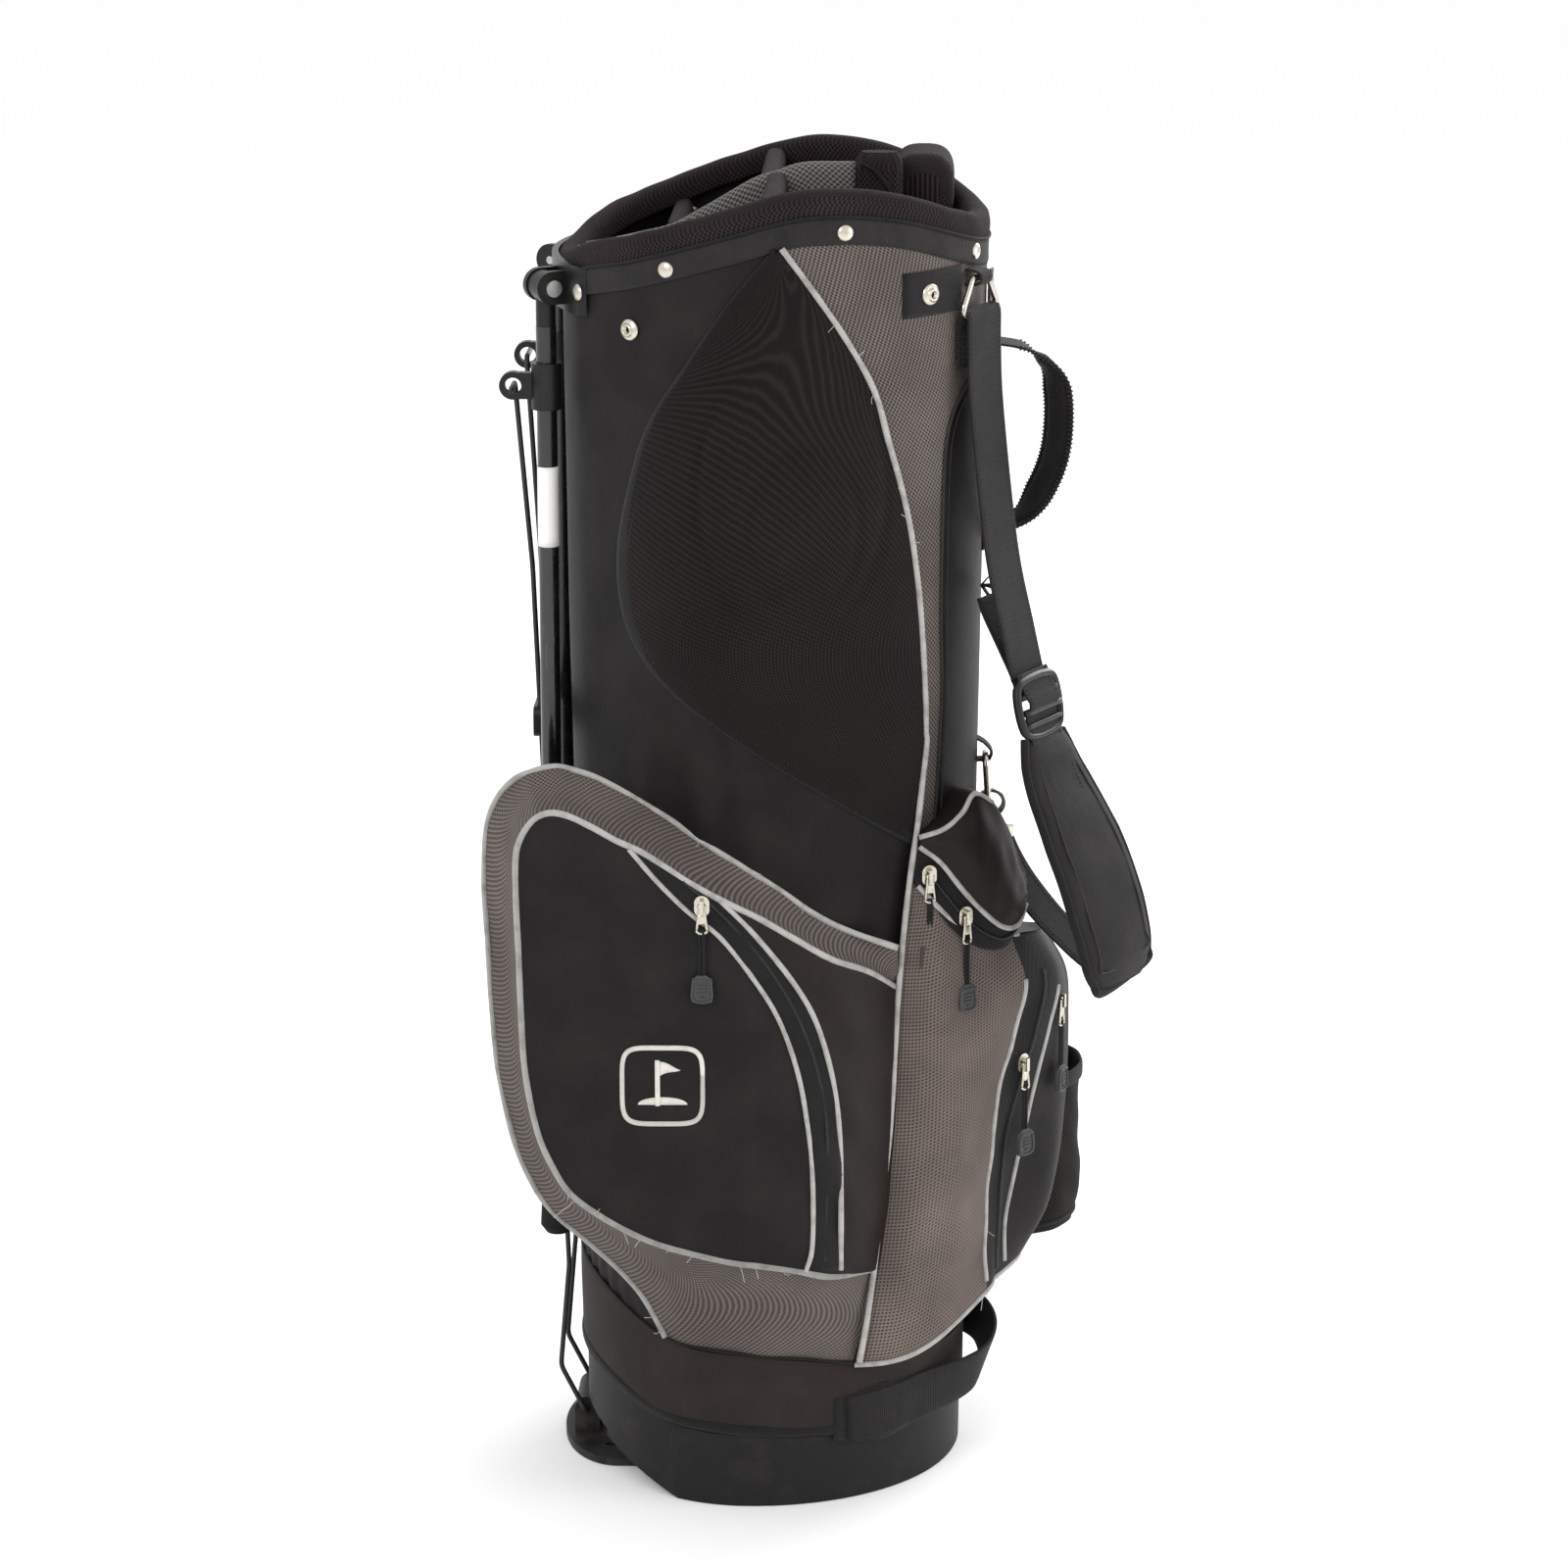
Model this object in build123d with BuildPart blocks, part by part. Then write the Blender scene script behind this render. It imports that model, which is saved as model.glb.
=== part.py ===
"""Golf stand bag: a tapering fabric barrel on a moulded boot, with pockets, one shoulder strap
and two legs that swing out when the foot plate under the boot is pressed.

Frame: millimetres, +Z up, origin at the centre of the boot's flat underside. +X is the strap
side (spine), -X the leg side, -Y the side with the large pocket.
"""
import os
from math import atan2, cos, degrees, radians, sin, tan

from build123d import *

os.makedirs("parts", exist_ok=True)

# ---- driving dimensions: the barrel -----------------------------------------------------
SECTION_HEIGHT = 800.0      # the section's taper is stated over this height
STRAP_HALF, STRAP_TAPER = 131.0, 10.0
LEG_HALF, LEG_TAPER = 107.0, 8.0
DEPTH_HALF, DEPTH_TAPER = 124.0, -2.0
SHELL_WALL = 3.0            # fabric, foam and lining together
GAP = 0.25                  # room between two neighbouring curved pieces
FAR = 320.0                 # a length that reaches past the whole bag

# Heights of the sloping edges along X, as (x, z).
RIM_LINE = [(-160, 741), (-115, 766), (-95, 779), (-64, 789), (-13, 805), (37, 817), (86, 813),
            (128, 796), (180, 766)]
BOOT_LINE = [(-140, 74), (-97, 66), (-56, 51), (-12, 47), (44, 44), (100, 38), (160, 32)]
SKIRT_LINE = [(-140, 150), (-98, 131), (-46, 105), (8, 99), (66, 91), (120, 84), (170, 76)]
DIVIDER_LINE = [(-140, 764), (-95, 769), (-46, 780), (-19, 794), (1, 806), (19, 813), (43, 818),
                (140, 816)]
CUFF_HEIGHT, CUFF_IN, CUFF_OUT = 15.0, 13.0, 1.5
BAND_HEIGHT, BAND_OUT = 16.0, 1.8
COLLAR_HEIGHT = 36.0
FLANGE_RISE = 30.0
BAR_THICK, BAR_HEIGHT, SHEET_THICK = 13.0, 28.0, 2.0
CROSS_BARS = [(15.0, -1), (10.0, 1), (-47.0, 1)]   # x, and the side each one runs to
SLEEVE_HALF, SLEEVE_LEFT, SLEEVE_RIGHT, SLEEVE_LOW, SLEEVE_HIGH = 12.0, 62.0, 90.0, 762.0, 824.0
GRIP_LEFT, GRIP_RIGHT, GRIP_FAR, GRIP_LOW, GRIP_HIGH = 84.0, 121.0, 72.0, 776.0, 820.0

# ---- driving dimensions: the stand ------------------------------------------------------
BEVEL = 25.0                # the boot's leg side is cut away by this, and the plate turns by it
BEVEL_X = -43.0
HINGE_X, HINGE_Z = -48.0, 5.5
PLATE_HALF, PLATE_THICK, TOE_X, TOE_REACH = 65.0, 5.0, -84.0, 37.0
TONGUE_HALF, KNUCKLE_R, HINGE_PIN_R, RUNNING = 54.0, 4.5, 1.75, 0.06
CROSSBAR_X, CROSSBAR_Z, WIRE_R, WIRE_HALF, BOSS_HALF, BOSS_R = -106.0, 20.0, 1.6, 27.0, 21.0, 8.0
LEG_X, LEG_Y, PIVOT_Z = -121.0, 50.0, 750.0
SPLAY = 30.0                # how far the legs' swing is turned sideways from straight out
LEG_R, LEG_BORE, PLUG_R = 6.1, 4.9, 4.8
FOOT_BOTTOM, FOOT_TOP, TUBE_TOP = 152.0, 186.0, 726.0
PIVOT_R, PIVOT_HALF, PIVOT_PIN_R, EAR_THICK, EAR_R = 9.0, 6.0, 2.5, 4.0, 10.0
LUG_LOW, LUG_HIGH, LUG_HOLE_X, LUG_HOLE_R, LUG_THICK = 676.0, 704.0, -141.0, 5.0, 6.0
LUG_Z = (LUG_LOW + LUG_HIGH) / 2

# ---- driving dimensions: the strap ------------------------------------------------------
STRAP_TURN = -30.0          # azimuth of the vertical plane in which the strap hangs
STRAP_TOP = (137.0, -49.0)
WEBBING_WIDTH, WEBBING_THICK = 38.0, 2.4
PAD_WIDTH, PAD_THICK = 80.0, 12.0
RING_R = 1.9


# ---- shapes that several pieces share ---------------------------------------------------
def section(z, grow=0.0):
    """The barrel's outline at height z, grown outwards: half an ellipse on each side."""
    share = z / SECTION_HEIGHT
    strap_half = STRAP_HALF + STRAP_TAPER * share + grow
    leg_half = LEG_HALF + LEG_TAPER * share + grow
    depth_half = DEPTH_HALF + DEPTH_TAPER * share + grow
    with BuildSketch(Plane.XY.offset(z)) as outline:
        with BuildLine():
            EllipticalCenterArc((0, 0), strap_half, depth_half, -90, arc_size=180)
            EllipticalCenterArc((0, 0), leg_half, depth_half, 90, arc_size=180)
        make_face()
    return outline.sketch


def column(low, high, grow=0.0):
    """Solid barrel section between two heights."""
    with BuildPart() as solid:
        loft([section(low, grow), section(high, grow)], ruled=True)
    return solid.part


def on_barrel(angle, z, grow=0.0):
    """A point on the barrel by its ellipse angle and height, and the azimuth it faces."""
    share = z / SECTION_HEIGHT
    side = STRAP_HALF + STRAP_TAPER * share + grow
    if cos(radians(angle)) < 0:
        side = LEG_HALF + LEG_TAPER * share + grow
    depth = DEPTH_HALF + DEPTH_TAPER * share + grow
    point = (side * cos(radians(angle)), depth * sin(radians(angle)), z)
    return point, degrees(atan2(sin(radians(angle)) / depth, cos(radians(angle)) / side))


def shifted(line, rise):
    """The same sloping edge, higher up."""
    return [(x, z + rise) for x, z in line]


def profile_block(points, half=FAR):
    """A solid with this straight-sided XZ outline, across the depth."""
    with BuildPart() as solid:
        with BuildSketch(Plane.XZ):
            with BuildLine():
                Polyline(*points, close=True)
            make_face()
        extrude(amount=half, both=True)
    return solid.part


def above(line):
    """Everything above a sloping edge, across the whole depth."""
    with BuildPart() as solid:
        with BuildSketch(Plane.XZ):
            with BuildLine():
                Spline(*line)
                Polyline(line[-1], (line[-1][0], 1200), (line[0][0], 1200), line[0])
            make_face()
        extrude(amount=FAR, both=True)
    return solid.part


def hoop(outer_grow, inner_grow, low_line, high_line):
    """A hoop around the barrel between two sloping edges."""
    low = min(z for _, z in low_line) - 5
    high = max(z for _, z in high_line) + 5
    with BuildPart() as solid:
        add(column(low, high, outer_grow))
        add(column(low, high, inner_grow), mode=Mode.SUBTRACT)
        add(above(low_line), mode=Mode.INTERSECT)
        add(above(high_line), mode=Mode.SUBTRACT)
    return solid.part


def plan_block(points, low, high):
    """A solid with this straight-sided plan between two heights."""
    with BuildPart() as solid:
        with BuildSketch(Plane.XY.offset(low)):
            with BuildLine():
                Polyline(*points, close=True)
            make_face()
        extrude(amount=high - low)
    return solid.part


def box_block(low, high):
    """A plain box between two corners."""
    with BuildPart() as solid:
        with Locations(tuple((a + b) / 2 for a, b in zip(low, high))):
            Box(*[b - a for a, b in zip(low, high)])
    return solid.part


def outline_block(near, *curves):
    """A solid with an XZ outline made of rounded stretches, from a depth towards the middle."""
    with BuildPart() as solid:
        with BuildSketch(Plane.XZ.offset(near)):
            with BuildLine():
                for points in curves:
                    Spline(*points)
            make_face()
        extrude(amount=-near)
    return solid.part


def side_plane(turn, at):
    """A vertical plane facing this azimuth: x along the surface, y up, z outwards."""
    across = (-sin(radians(turn)), cos(radians(turn)), 0)
    return Plane(origin=at, x_dir=across, z_dir=(cos(radians(turn)), sin(radians(turn)), 0))


def keep(solid, label):
    """Label a finished piece and write it."""
    solid.label = label
    export_step(solid, f"parts/{label}.step")


# ---- boot -------------------------------------------------------------------------------
NOTCH_HALF, NOTCH_WALL, NOTCH_DEEP_X, NOTCH_TOP = 32.0, 3.0, -81.0, 60.5
RECESS_CLEAR, BEVEL_FLOOR, PIN_HALF = 1.2, 4.4, 66.0


def bevel_height(x, clear):
    """Height of the plane through the foot plate's hinge, along the bevel, raised squarely."""
    return HINGE_Z + clear / cos(radians(BEVEL)) + tan(radians(BEVEL)) * (HINGE_X - x)


flange = hoop(-SHELL_WALL - GAP, -SHELL_WALL - GAP - 3, shifted(BOOT_LINE, -6),
              shifted(BOOT_LINE, FLANGE_RISE))
cavity_profile = profile_block([
    (-35, 4), (-35, 14), (-54, 14), (-FAR, bevel_height(-FAR, BEVEL_FLOOR)), (-FAR, 400), (FAR, 400),
    (FAR, 4)])
wedge = profile_block([
    (BEVEL_X, -10), (BEVEL_X, 0), (-FAR, tan(radians(BEVEL)) * (FAR + BEVEL_X)), (-FAR, -10)])
notch_walls = box_block((-112, -NOTCH_HALF - NOTCH_WALL, 5),
                        (NOTCH_DEEP_X + NOTCH_WALL, NOTCH_HALF + NOTCH_WALL, NOTCH_TOP + NOTCH_WALL))
with BuildPart() as cavity:
    add(column(1, 140, -SHELL_WALL - GAP - 3))
    add(cavity_profile, mode=Mode.INTERSECT)
with BuildPart() as notch_shell:
    add(notch_walls)
    add(column(0, 90, -SHELL_WALL), mode=Mode.INTERSECT)
with BuildPart() as wire_gate:
    add(box_block((-FAR, -NOTCH_HALF, NOTCH_TOP - 1), (-80, NOTCH_HALF, 90)))
    add(column(40, 100, -SHELL_WALL - GAP), mode=Mode.SUBTRACT)

with BuildPart() as base_boot:
    add(column(0, 90, 0))
    add(above(BOOT_LINE), mode=Mode.SUBTRACT)
    add(flange)
    add(cavity.part, mode=Mode.SUBTRACT)
    add(notch_shell.part)
    add(wedge, mode=Mode.SUBTRACT)
    # Room for the plate when it closes, and for its knuckle at any angle.
    add(profile_block([(-56, -10), (-56, bevel_height(-56, RECESS_CLEAR)),
                       (-FAR, bevel_height(-FAR, RECESS_CLEAR)), (-FAR, -10)], PLATE_HALF + 2.5),
        mode=Mode.SUBTRACT)
    add(profile_block([(HINGE_X - 1, -10), (HINGE_X - 1, bevel_height(HINGE_X - 1, RECESS_CLEAR)),
                       (-FAR, bevel_height(-FAR, RECESS_CLEAR)), (-FAR, -10)], TONGUE_HALF + 1),
        mode=Mode.SUBTRACT)
    with BuildSketch(Plane.XZ):
        with Locations((HINGE_X, HINGE_Z)):
            Circle(KNUCKLE_R + 0.9)
        with Locations((HINGE_X, HINGE_Z - 8)):
            Rectangle(2 * KNUCKLE_R + 1.8, 16)
    extrude(amount=TONGUE_HALF + 1, both=True, mode=Mode.SUBTRACT)
    add(box_block((-FAR, -NOTCH_HALF, -5), (NOTCH_DEEP_X, NOTCH_HALF, NOTCH_TOP)), mode=Mode.SUBTRACT)
    add(wire_gate.part, mode=Mode.SUBTRACT)
    with BuildSketch(Plane.XZ):
        with Locations((HINGE_X, HINGE_Z)):
            Circle(HINGE_PIN_R)
    extrude(amount=PIN_HALF, both=True, mode=Mode.SUBTRACT)
keep(base_boot.part, "base_boot")

with BuildPart() as base_hinge_pin:
    with BuildSketch(Plane.XZ):
        with Locations((HINGE_X, HINGE_Z)):
            Circle(HINGE_PIN_R)
    extrude(amount=PIN_HALF, both=True)
keep(base_hinge_pin.part, "base_hinge_pin")

# ---- foot plate -------------------------------------------------------------------------
with BuildPart() as foot_plate:
    with BuildSketch(Plane.XY):
        with BuildLine():
            toe = EllipticalCenterArc((TOE_X, 0), TOE_REACH, PLATE_HALF, 90, arc_size=180)
            Polyline(toe @ 1, (-57, -PLATE_HALF), (-57, PLATE_HALF), toe @ 0)
        make_face()
        with Locations(((HINGE_X - 58) / 2, 0)):
            Rectangle(10, 2 * TONGUE_HALF)
        with Locations((-84, 28), (-84, 42), (-84, -28), (-84, -42)):
            SlotOverall(18, 5, mode=Mode.SUBTRACT)
    extrude(amount=PLATE_THICK)
    with BuildSketch(Plane.XZ):
        with Locations((HINGE_X, HINGE_Z)):
            Circle(KNUCKLE_R)
    extrude(amount=TONGUE_HALF, both=True)
    with BuildSketch(Plane.XZ):
        with Locations((CROSSBAR_X, CROSSBAR_Z)):
            Circle(BOSS_R)
        with Locations((CROSSBAR_X, CROSSBAR_Z / 2)):
            Rectangle(2 * BOSS_R, CROSSBAR_Z)
    extrude(amount=BOSS_HALF, both=True)
    with BuildSketch(Plane.XZ):
        with Locations((HINGE_X, HINGE_Z)):
            Circle(HINGE_PIN_R + RUNNING)
        with Locations((CROSSBAR_X, CROSSBAR_Z)):
            Circle(WIRE_R + RUNNING)
    extrude(amount=FAR, both=True, mode=Mode.SUBTRACT)
keep(foot_plate.part, "foot_plate")

# ---- actuating wire and its clip --------------------------------------------------------
WIRE_ROUTE = [(CROSSBAR_X, 0, CROSSBAR_Z), (CROSSBAR_X, -WIRE_HALF, CROSSBAR_Z), (-122, -WIRE_HALF, 52),
              (-116, -WIRE_HALF, 121), (-133, -WIRE_HALF, 574), (LUG_HOLE_X, -40, LUG_Z),
              (LUG_HOLE_X, -74, LUG_Z)]
WIRE_RADII = [5, 14, 40, 60, 5]
with BuildPart() as actuator_wire:
    with BuildLine() as wire_path:
        FilletPolyline(*WIRE_ROUTE, radius=WIRE_RADII)
    with BuildSketch(Plane(origin=WIRE_ROUTE[0], z_dir=(0, -1, 0))):
        Circle(WIRE_R)
    sweep(path=wire_path.line)
    mirror(about=Plane.XZ)
keep(actuator_wire.part, "actuator_wire")

with BuildPart() as wire_clip:
    add(box_block((-133.5, -33, 467), (-125.5, 33, 486)))
    fillet(wire_clip.edges().filter_by(Axis.X), 5)
keep(wire_clip.part, "wire_clip")

# ---- legs -------------------------------------------------------------------------------
def pivot_plane(side):
    """Frame at a leg's pivot: x towards the barrel, y up, z along the pivot's axis."""
    inward = (cos(radians(SPLAY)), -side * sin(radians(SPLAY)), 0)
    axis = (side * sin(radians(SPLAY)), cos(radians(SPLAY)), 0)
    return Plane(origin=(LEG_X, side * LEG_Y, PIVOT_Z), x_dir=inward, z_dir=axis)


for name, side in (("near", -1), ("far", 1)):
    axle = pivot_plane(side)
    with BuildPart() as leg_tube:
        with BuildSketch(Plane(origin=(LEG_X, side * LEG_Y, FOOT_TOP))):
            Circle(LEG_R)
            Circle(LEG_BORE, mode=Mode.SUBTRACT)
        extrude(amount=TUBE_TOP - FOOT_TOP)
    keep(leg_tube.part, f"leg_tube_{name}")

    with BuildPart() as leg_head:
        with BuildSketch(axle):
            Circle(PIVOT_R)
        extrude(amount=PIVOT_HALF, both=True)
        with BuildSketch(Plane(origin=(LEG_X, side * LEG_Y, TUBE_TOP))):
            Circle(LEG_R - 0.2)
        extrude(amount=PIVOT_Z - TUBE_TOP)
        with BuildSketch(Plane(origin=(LEG_X, side * LEG_Y, TUBE_TOP - 16))):
            Circle(PLUG_R)
        extrude(amount=16)
        with BuildSketch(axle):
            Circle(PIVOT_PIN_R + RUNNING)
        extrude(amount=2 * PIVOT_HALF, both=True, mode=Mode.SUBTRACT)
    keep(leg_head.part, f"leg_head_{name}")

    with BuildPart() as leg_foot:
        with BuildSketch(Plane(origin=(LEG_X, side * LEG_Y, 0), x_dir=(1, 0, 0), z_dir=(0, -1, 0))):
            with BuildLine():
                Polyline((0, FOOT_BOTTOM), (7, FOOT_BOTTOM), (10.5, FOOT_BOTTOM + 5), (9.5, FOOT_TOP - 9),
                         (8, FOOT_TOP), (PLUG_R, FOOT_TOP), (PLUG_R, FOOT_TOP + 14), (0, FOOT_TOP + 14),
                         close=True)
            make_face()
        revolve(axis=Axis((LEG_X, side * LEG_Y, 0), (0, 0, 1)))
    keep(leg_foot.part, f"leg_foot_{name}")

    with BuildPart() as leg_lug:
        with BuildSketch(Plane(origin=(LEG_X, side * LEG_Y, LUG_LOW))):
            Circle(LEG_R + 3.2)
        extrude(amount=LUG_HIGH - LUG_LOW)
        with BuildSketch(Plane.XZ.offset(-side * LEG_Y)):
            with Locations((LUG_HOLE_X, LUG_Z)):
                Circle(LUG_HOLE_R + 3.4)
            with Locations(((LUG_HOLE_X + LEG_X) / 2, LUG_Z)):
                Rectangle(LEG_X - LUG_HOLE_X, 16)
        extrude(amount=LUG_THICK / 2, both=True)
        with BuildSketch(Plane.XZ.offset(-side * LEG_Y)):
            with Locations((LUG_HOLE_X, LUG_Z)):
                Circle(LUG_HOLE_R)
        extrude(amount=LUG_THICK, both=True, mode=Mode.SUBTRACT)
        with BuildSketch(Plane(origin=(LEG_X, side * LEG_Y, LUG_LOW))):
            Circle(LEG_R + 0.05)
        extrude(amount=LUG_HIGH - LUG_LOW, mode=Mode.SUBTRACT)
    keep(leg_lug.part, f"leg_lug_{name}")

    with BuildPart() as pivot_screw:
        with BuildSketch(axle.offset(-PIVOT_HALF - EAR_THICK - 0.15)):
            Circle(PIVOT_PIN_R)
        extrude(amount=2 * (PIVOT_HALF + EAR_THICK + 0.15))
        with BuildSketch(axle.offset(side * (PIVOT_HALF + EAR_THICK + 0.15))):
            Circle(5)
        extrude(amount=side * 2.5)
    keep(pivot_screw.part, f"pivot_screw_{name}")

# ---- bracket that carries both legs -----------------------------------------------------
BRACKET_OUT = 6.0
with BuildPart() as bracket_plate:
    add(column(736, 765, BRACKET_OUT))
    add(box_block((-FAR, -72, 700), (-80, 72, 800)), mode=Mode.INTERSECT)
with BuildPart() as leg_bracket:
    add(bracket_plate.part)
    for side in (-1, 1):
        axle = pivot_plane(side)
        for offset in (-PIVOT_HALF - 0.15 - EAR_THICK, PIVOT_HALF + 0.15):
            with BuildSketch(axle.offset(offset)):
                Circle(EAR_R)
                with Locations((16, 0)):
                    Rectangle(32, 2 * EAR_R)
            extrude(amount=EAR_THICK)
    for side in (-1, 1):
        axle = pivot_plane(side)
        with BuildSketch(axle):
            Circle(PIVOT_R + 1)
            with Locations((-2, -15)):
                Rectangle(2 * LEG_R + 6, 30)
        extrude(amount=PIVOT_HALF + 0.15, both=True, mode=Mode.SUBTRACT)
        with BuildSketch(axle):
            Circle(PIVOT_PIN_R)
        extrude(amount=FAR / 10, both=True, mode=Mode.SUBTRACT)
    add(column(690, 810, BAND_OUT + GAP), mode=Mode.SUBTRACT)
keep(leg_bracket.part, "leg_bracket")

# ---- barrel -----------------------------------------------------------------------------
cuff_floor = shifted(RIM_LINE, -CUFF_HEIGHT)
band_floor = shifted(cuff_floor, -BAND_HEIGHT)
keep(hoop(0, -SHELL_WALL, shifted(BOOT_LINE, 0.3), shifted(cuff_floor, -0.3)), "body_shell")
keep(hoop(GAP + 1.2, GAP, shifted(BOOT_LINE, 1), SKIRT_LINE), "skirt_band")
keep(hoop(BAND_OUT, GAP, band_floor, shifted(cuff_floor, -0.3)), "rim_band")
keep(hoop(CUFF_OUT, -CUFF_IN, cuff_floor, RIM_LINE), "rim_cuff")
keep(hoop(-SHELL_WALL - GAP, -SHELL_WALL - GAP - 3, shifted(cuff_floor, -COLLAR_HEIGHT),
          shifted(cuff_floor, -0.3)), "top_collar")

# ---- club dividers ----------------------------------------------------------------------
INSIDE = -SHELL_WALL - 2 * GAP - 3
SHEET_FLOOR = 66.0
with BuildPart() as club_room:
    add(column(SHEET_FLOOR, 840, INSIDE))
    add(above(shifted(cuff_floor, -GAP)), mode=Mode.SUBTRACT)
    add(column(700, 840, -CUFF_IN - GAP))
under_bars = shifted(DIVIDER_LINE, -BAR_HEIGHT)

with BuildPart() as divider_bars:
    add(box_block((-FAR, -BAR_THICK / 2, 600), (61.5, BAR_THICK / 2, 900)))
    for x, side in CROSS_BARS:
        add(box_block((x - BAR_THICK / 2, min(0, side * FAR), 600),
                      (x + BAR_THICK / 2, max(0, side * FAR), 900)))
    add(above(under_bars), mode=Mode.INTERSECT)
    add(above(DIVIDER_LINE), mode=Mode.SUBTRACT)
    add(club_room.part, mode=Mode.INTERSECT)
keep(divider_bars.part, "divider_bars")

with BuildPart() as divider_sheets:
    add(box_block((-FAR, -SHEET_THICK / 2, SHEET_FLOOR), (FAR, SHEET_THICK / 2, 900)))
    for x, side in CROSS_BARS:
        add(box_block((x - SHEET_THICK / 2, min(0, side * FAR), SHEET_FLOOR),
                      (x + SHEET_THICK / 2, max(0, side * FAR), 900)))
    add(above(shifted(under_bars, -0.3)), mode=Mode.SUBTRACT)
    add(column(SHEET_FLOOR, 840, INSIDE - 0.5), mode=Mode.INTERSECT)
    add(box_block((SLEEVE_LEFT - 1, -SLEEVE_HALF, SLEEVE_LOW - 0.5), (FAR, SLEEVE_HALF, 900)),
        mode=Mode.SUBTRACT)
keep(divider_sheets.part, "divider_sheets")

with BuildPart() as divider_sleeve:
    add(box_block((SLEEVE_LEFT, -SLEEVE_HALF, SLEEVE_LOW), (SLEEVE_RIGHT, SLEEVE_HALF, SLEEVE_HIGH)))
    fillet(divider_sleeve.edges().filter_by(Axis.X).group_by(Axis.Z)[-1], 9)
keep(divider_sleeve.part, "divider_sleeve")

with BuildPart() as rim_grip:
    add(box_block((GRIP_LEFT, SLEEVE_HALF + 0.5, GRIP_LOW), (GRIP_RIGHT, GRIP_FAR, GRIP_HIGH)))
    fillet(rim_grip.edges().filter_by(Axis.Y), 11)
    add(column(760, 840, -CUFF_IN - GAP), mode=Mode.INTERSECT)
keep(rim_grip.part, "rim_grip")

STAY_R, STAY_LOW, STAY_HIGH, STAY_IN = 3.5, 36.0, 728.0, -13.0
with BuildPart() as stay_rods:
    for angle in (35, -35, 150, -150):
        foot, _ = on_barrel(angle, STAY_LOW, STAY_IN)
        top, _ = on_barrel(angle, STAY_HIGH, STAY_IN)
        rise = Vector(*top) - Vector(*foot)
        with BuildSketch(Plane(origin=foot, z_dir=rise)):
            Circle(STAY_R)
        extrude(amount=rise.length)
keep(stay_rods.part, "stay_rods")

# ---- rivets, studs and flat trim --------------------------------------------------------
def buttons(places, radius, height, base):
    """Round caps standing off the barrel: (ellipse angle, height) for each."""
    with BuildPart() as caps:
        for angle, z in places:
            point, azimuth = on_barrel(angle, z, base)
            with BuildSketch(side_plane(azimuth, point)):
                Circle(radius)
            extrude(amount=height, taper=12)
    return caps.part


keep(buttons([(-113, 771), (-65.6, 793), (-19, 771), (113, 771), (65.6, 793),
              (19, 771)], 5, 1.6, BAND_OUT + 0.4),
     "rim_rivets")
keep(buttons([(-146, 750), (146, 750)], 5, 1.8, BRACKET_OUT + 0.6), "bracket_rivets")
keep(buttons([(-126, 733), (-41, 752), (126, 733)], 6.5, 3.5, 3.6), "snap_studs")

band_underside = shifted(band_floor, -0.5)
spine_floor = [(x, 470) for x, _ in band_floor]
spine_ring = hoop(2.0, GAP, spine_floor, band_underside)
with BuildPart() as spine_panel:
    add(spine_ring)
    add(box_block((20, -44, 400), (FAR, 60, 900)), mode=Mode.INTERSECT)
keep(spine_panel.part, "spine_panel")

HIP_OUT = 8.0
hip_left = [(15, 780), (-8, 753), (-34, 714), (-55, 680), (-67, 643), (-75, 600), (-73, 564), (-62, 538),
            (-41, 516), (-11, 495), (24, 471), (58, 452), (102, 440)]
hip_right = [(102, 440), (106, 477), (105, 514), (102, 563), (97, 606), (91, 637), (83, 668), (75, 698),
             (60, 728), (41, 758), (22, 782)]
hip_outline = outline_block(200, hip_left, hip_right, [(22, 782), (15, 780)])
with BuildPart() as hip_pad:
    add(column(430, 800, HIP_OUT))
    add(column(430, 800, GAP), mode=Mode.SUBTRACT)
    add(hip_outline, mode=Mode.INTERSECT)
    add(above(band_underside), mode=Mode.SUBTRACT)
keep(hip_pad.part, "hip_pad")

# ---- pockets ----------------------------------------------------------------------------
BACK_Y, GUSSET_Y, FRONT_Y = -84.0, -112.0, -166.0
side_back = [(92, 362), (42, 382), (-23, 426), (-68, 450), (-120, 474), (-150, 452), (-158, 400),
             (-152, 300),
             (-123, 197), (-79, 160), (-50, 112), (10, 101), (66, 93), (84, 207)]
side_front = [(88, 349), (38, 378), (-25, 412), (-74, 442), (-111, 458), (-130, 446), (-133, 400),
              (-128, 290),
              (-104, 222), (-66, 194), (-33, 183), (11, 175), (70, 172), (86, 240)]
with BuildPart() as side_shape:
    for near, points in ((-BACK_Y, side_back), (-GUSSET_Y, side_back)):
        with BuildSketch(Plane.XZ.offset(near)):
            with BuildLine():
                Spline(*points, periodic=True)
            make_face()
    loft(ruled=True)
with BuildPart() as side_face:
    for near, points in ((-GUSSET_Y, side_back), (-FRONT_Y, side_front)):
        with BuildSketch(Plane.XZ.offset(near)):
            with BuildLine():
                Spline(*points, periodic=True)
            make_face()
    loft(ruled=True)
side_plan = plan_block([(94, -60), (93, -97), (62, -138), (10, -162), (-20, FRONT_Y), (-150, FRONT_Y),
                        (-170, -150),
                        (-170, BACK_Y), (-100, BACK_Y), (-60, -60)], 60, 520)
with BuildPart() as side_pocket:
    add(side_shape.part)
    add(side_face.part)
    add(side_plan, mode=Mode.INTERSECT)
    add(column(60, 520, 1.7), mode=Mode.SUBTRACT)
keep(side_pocket.part, "side_pocket")

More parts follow.
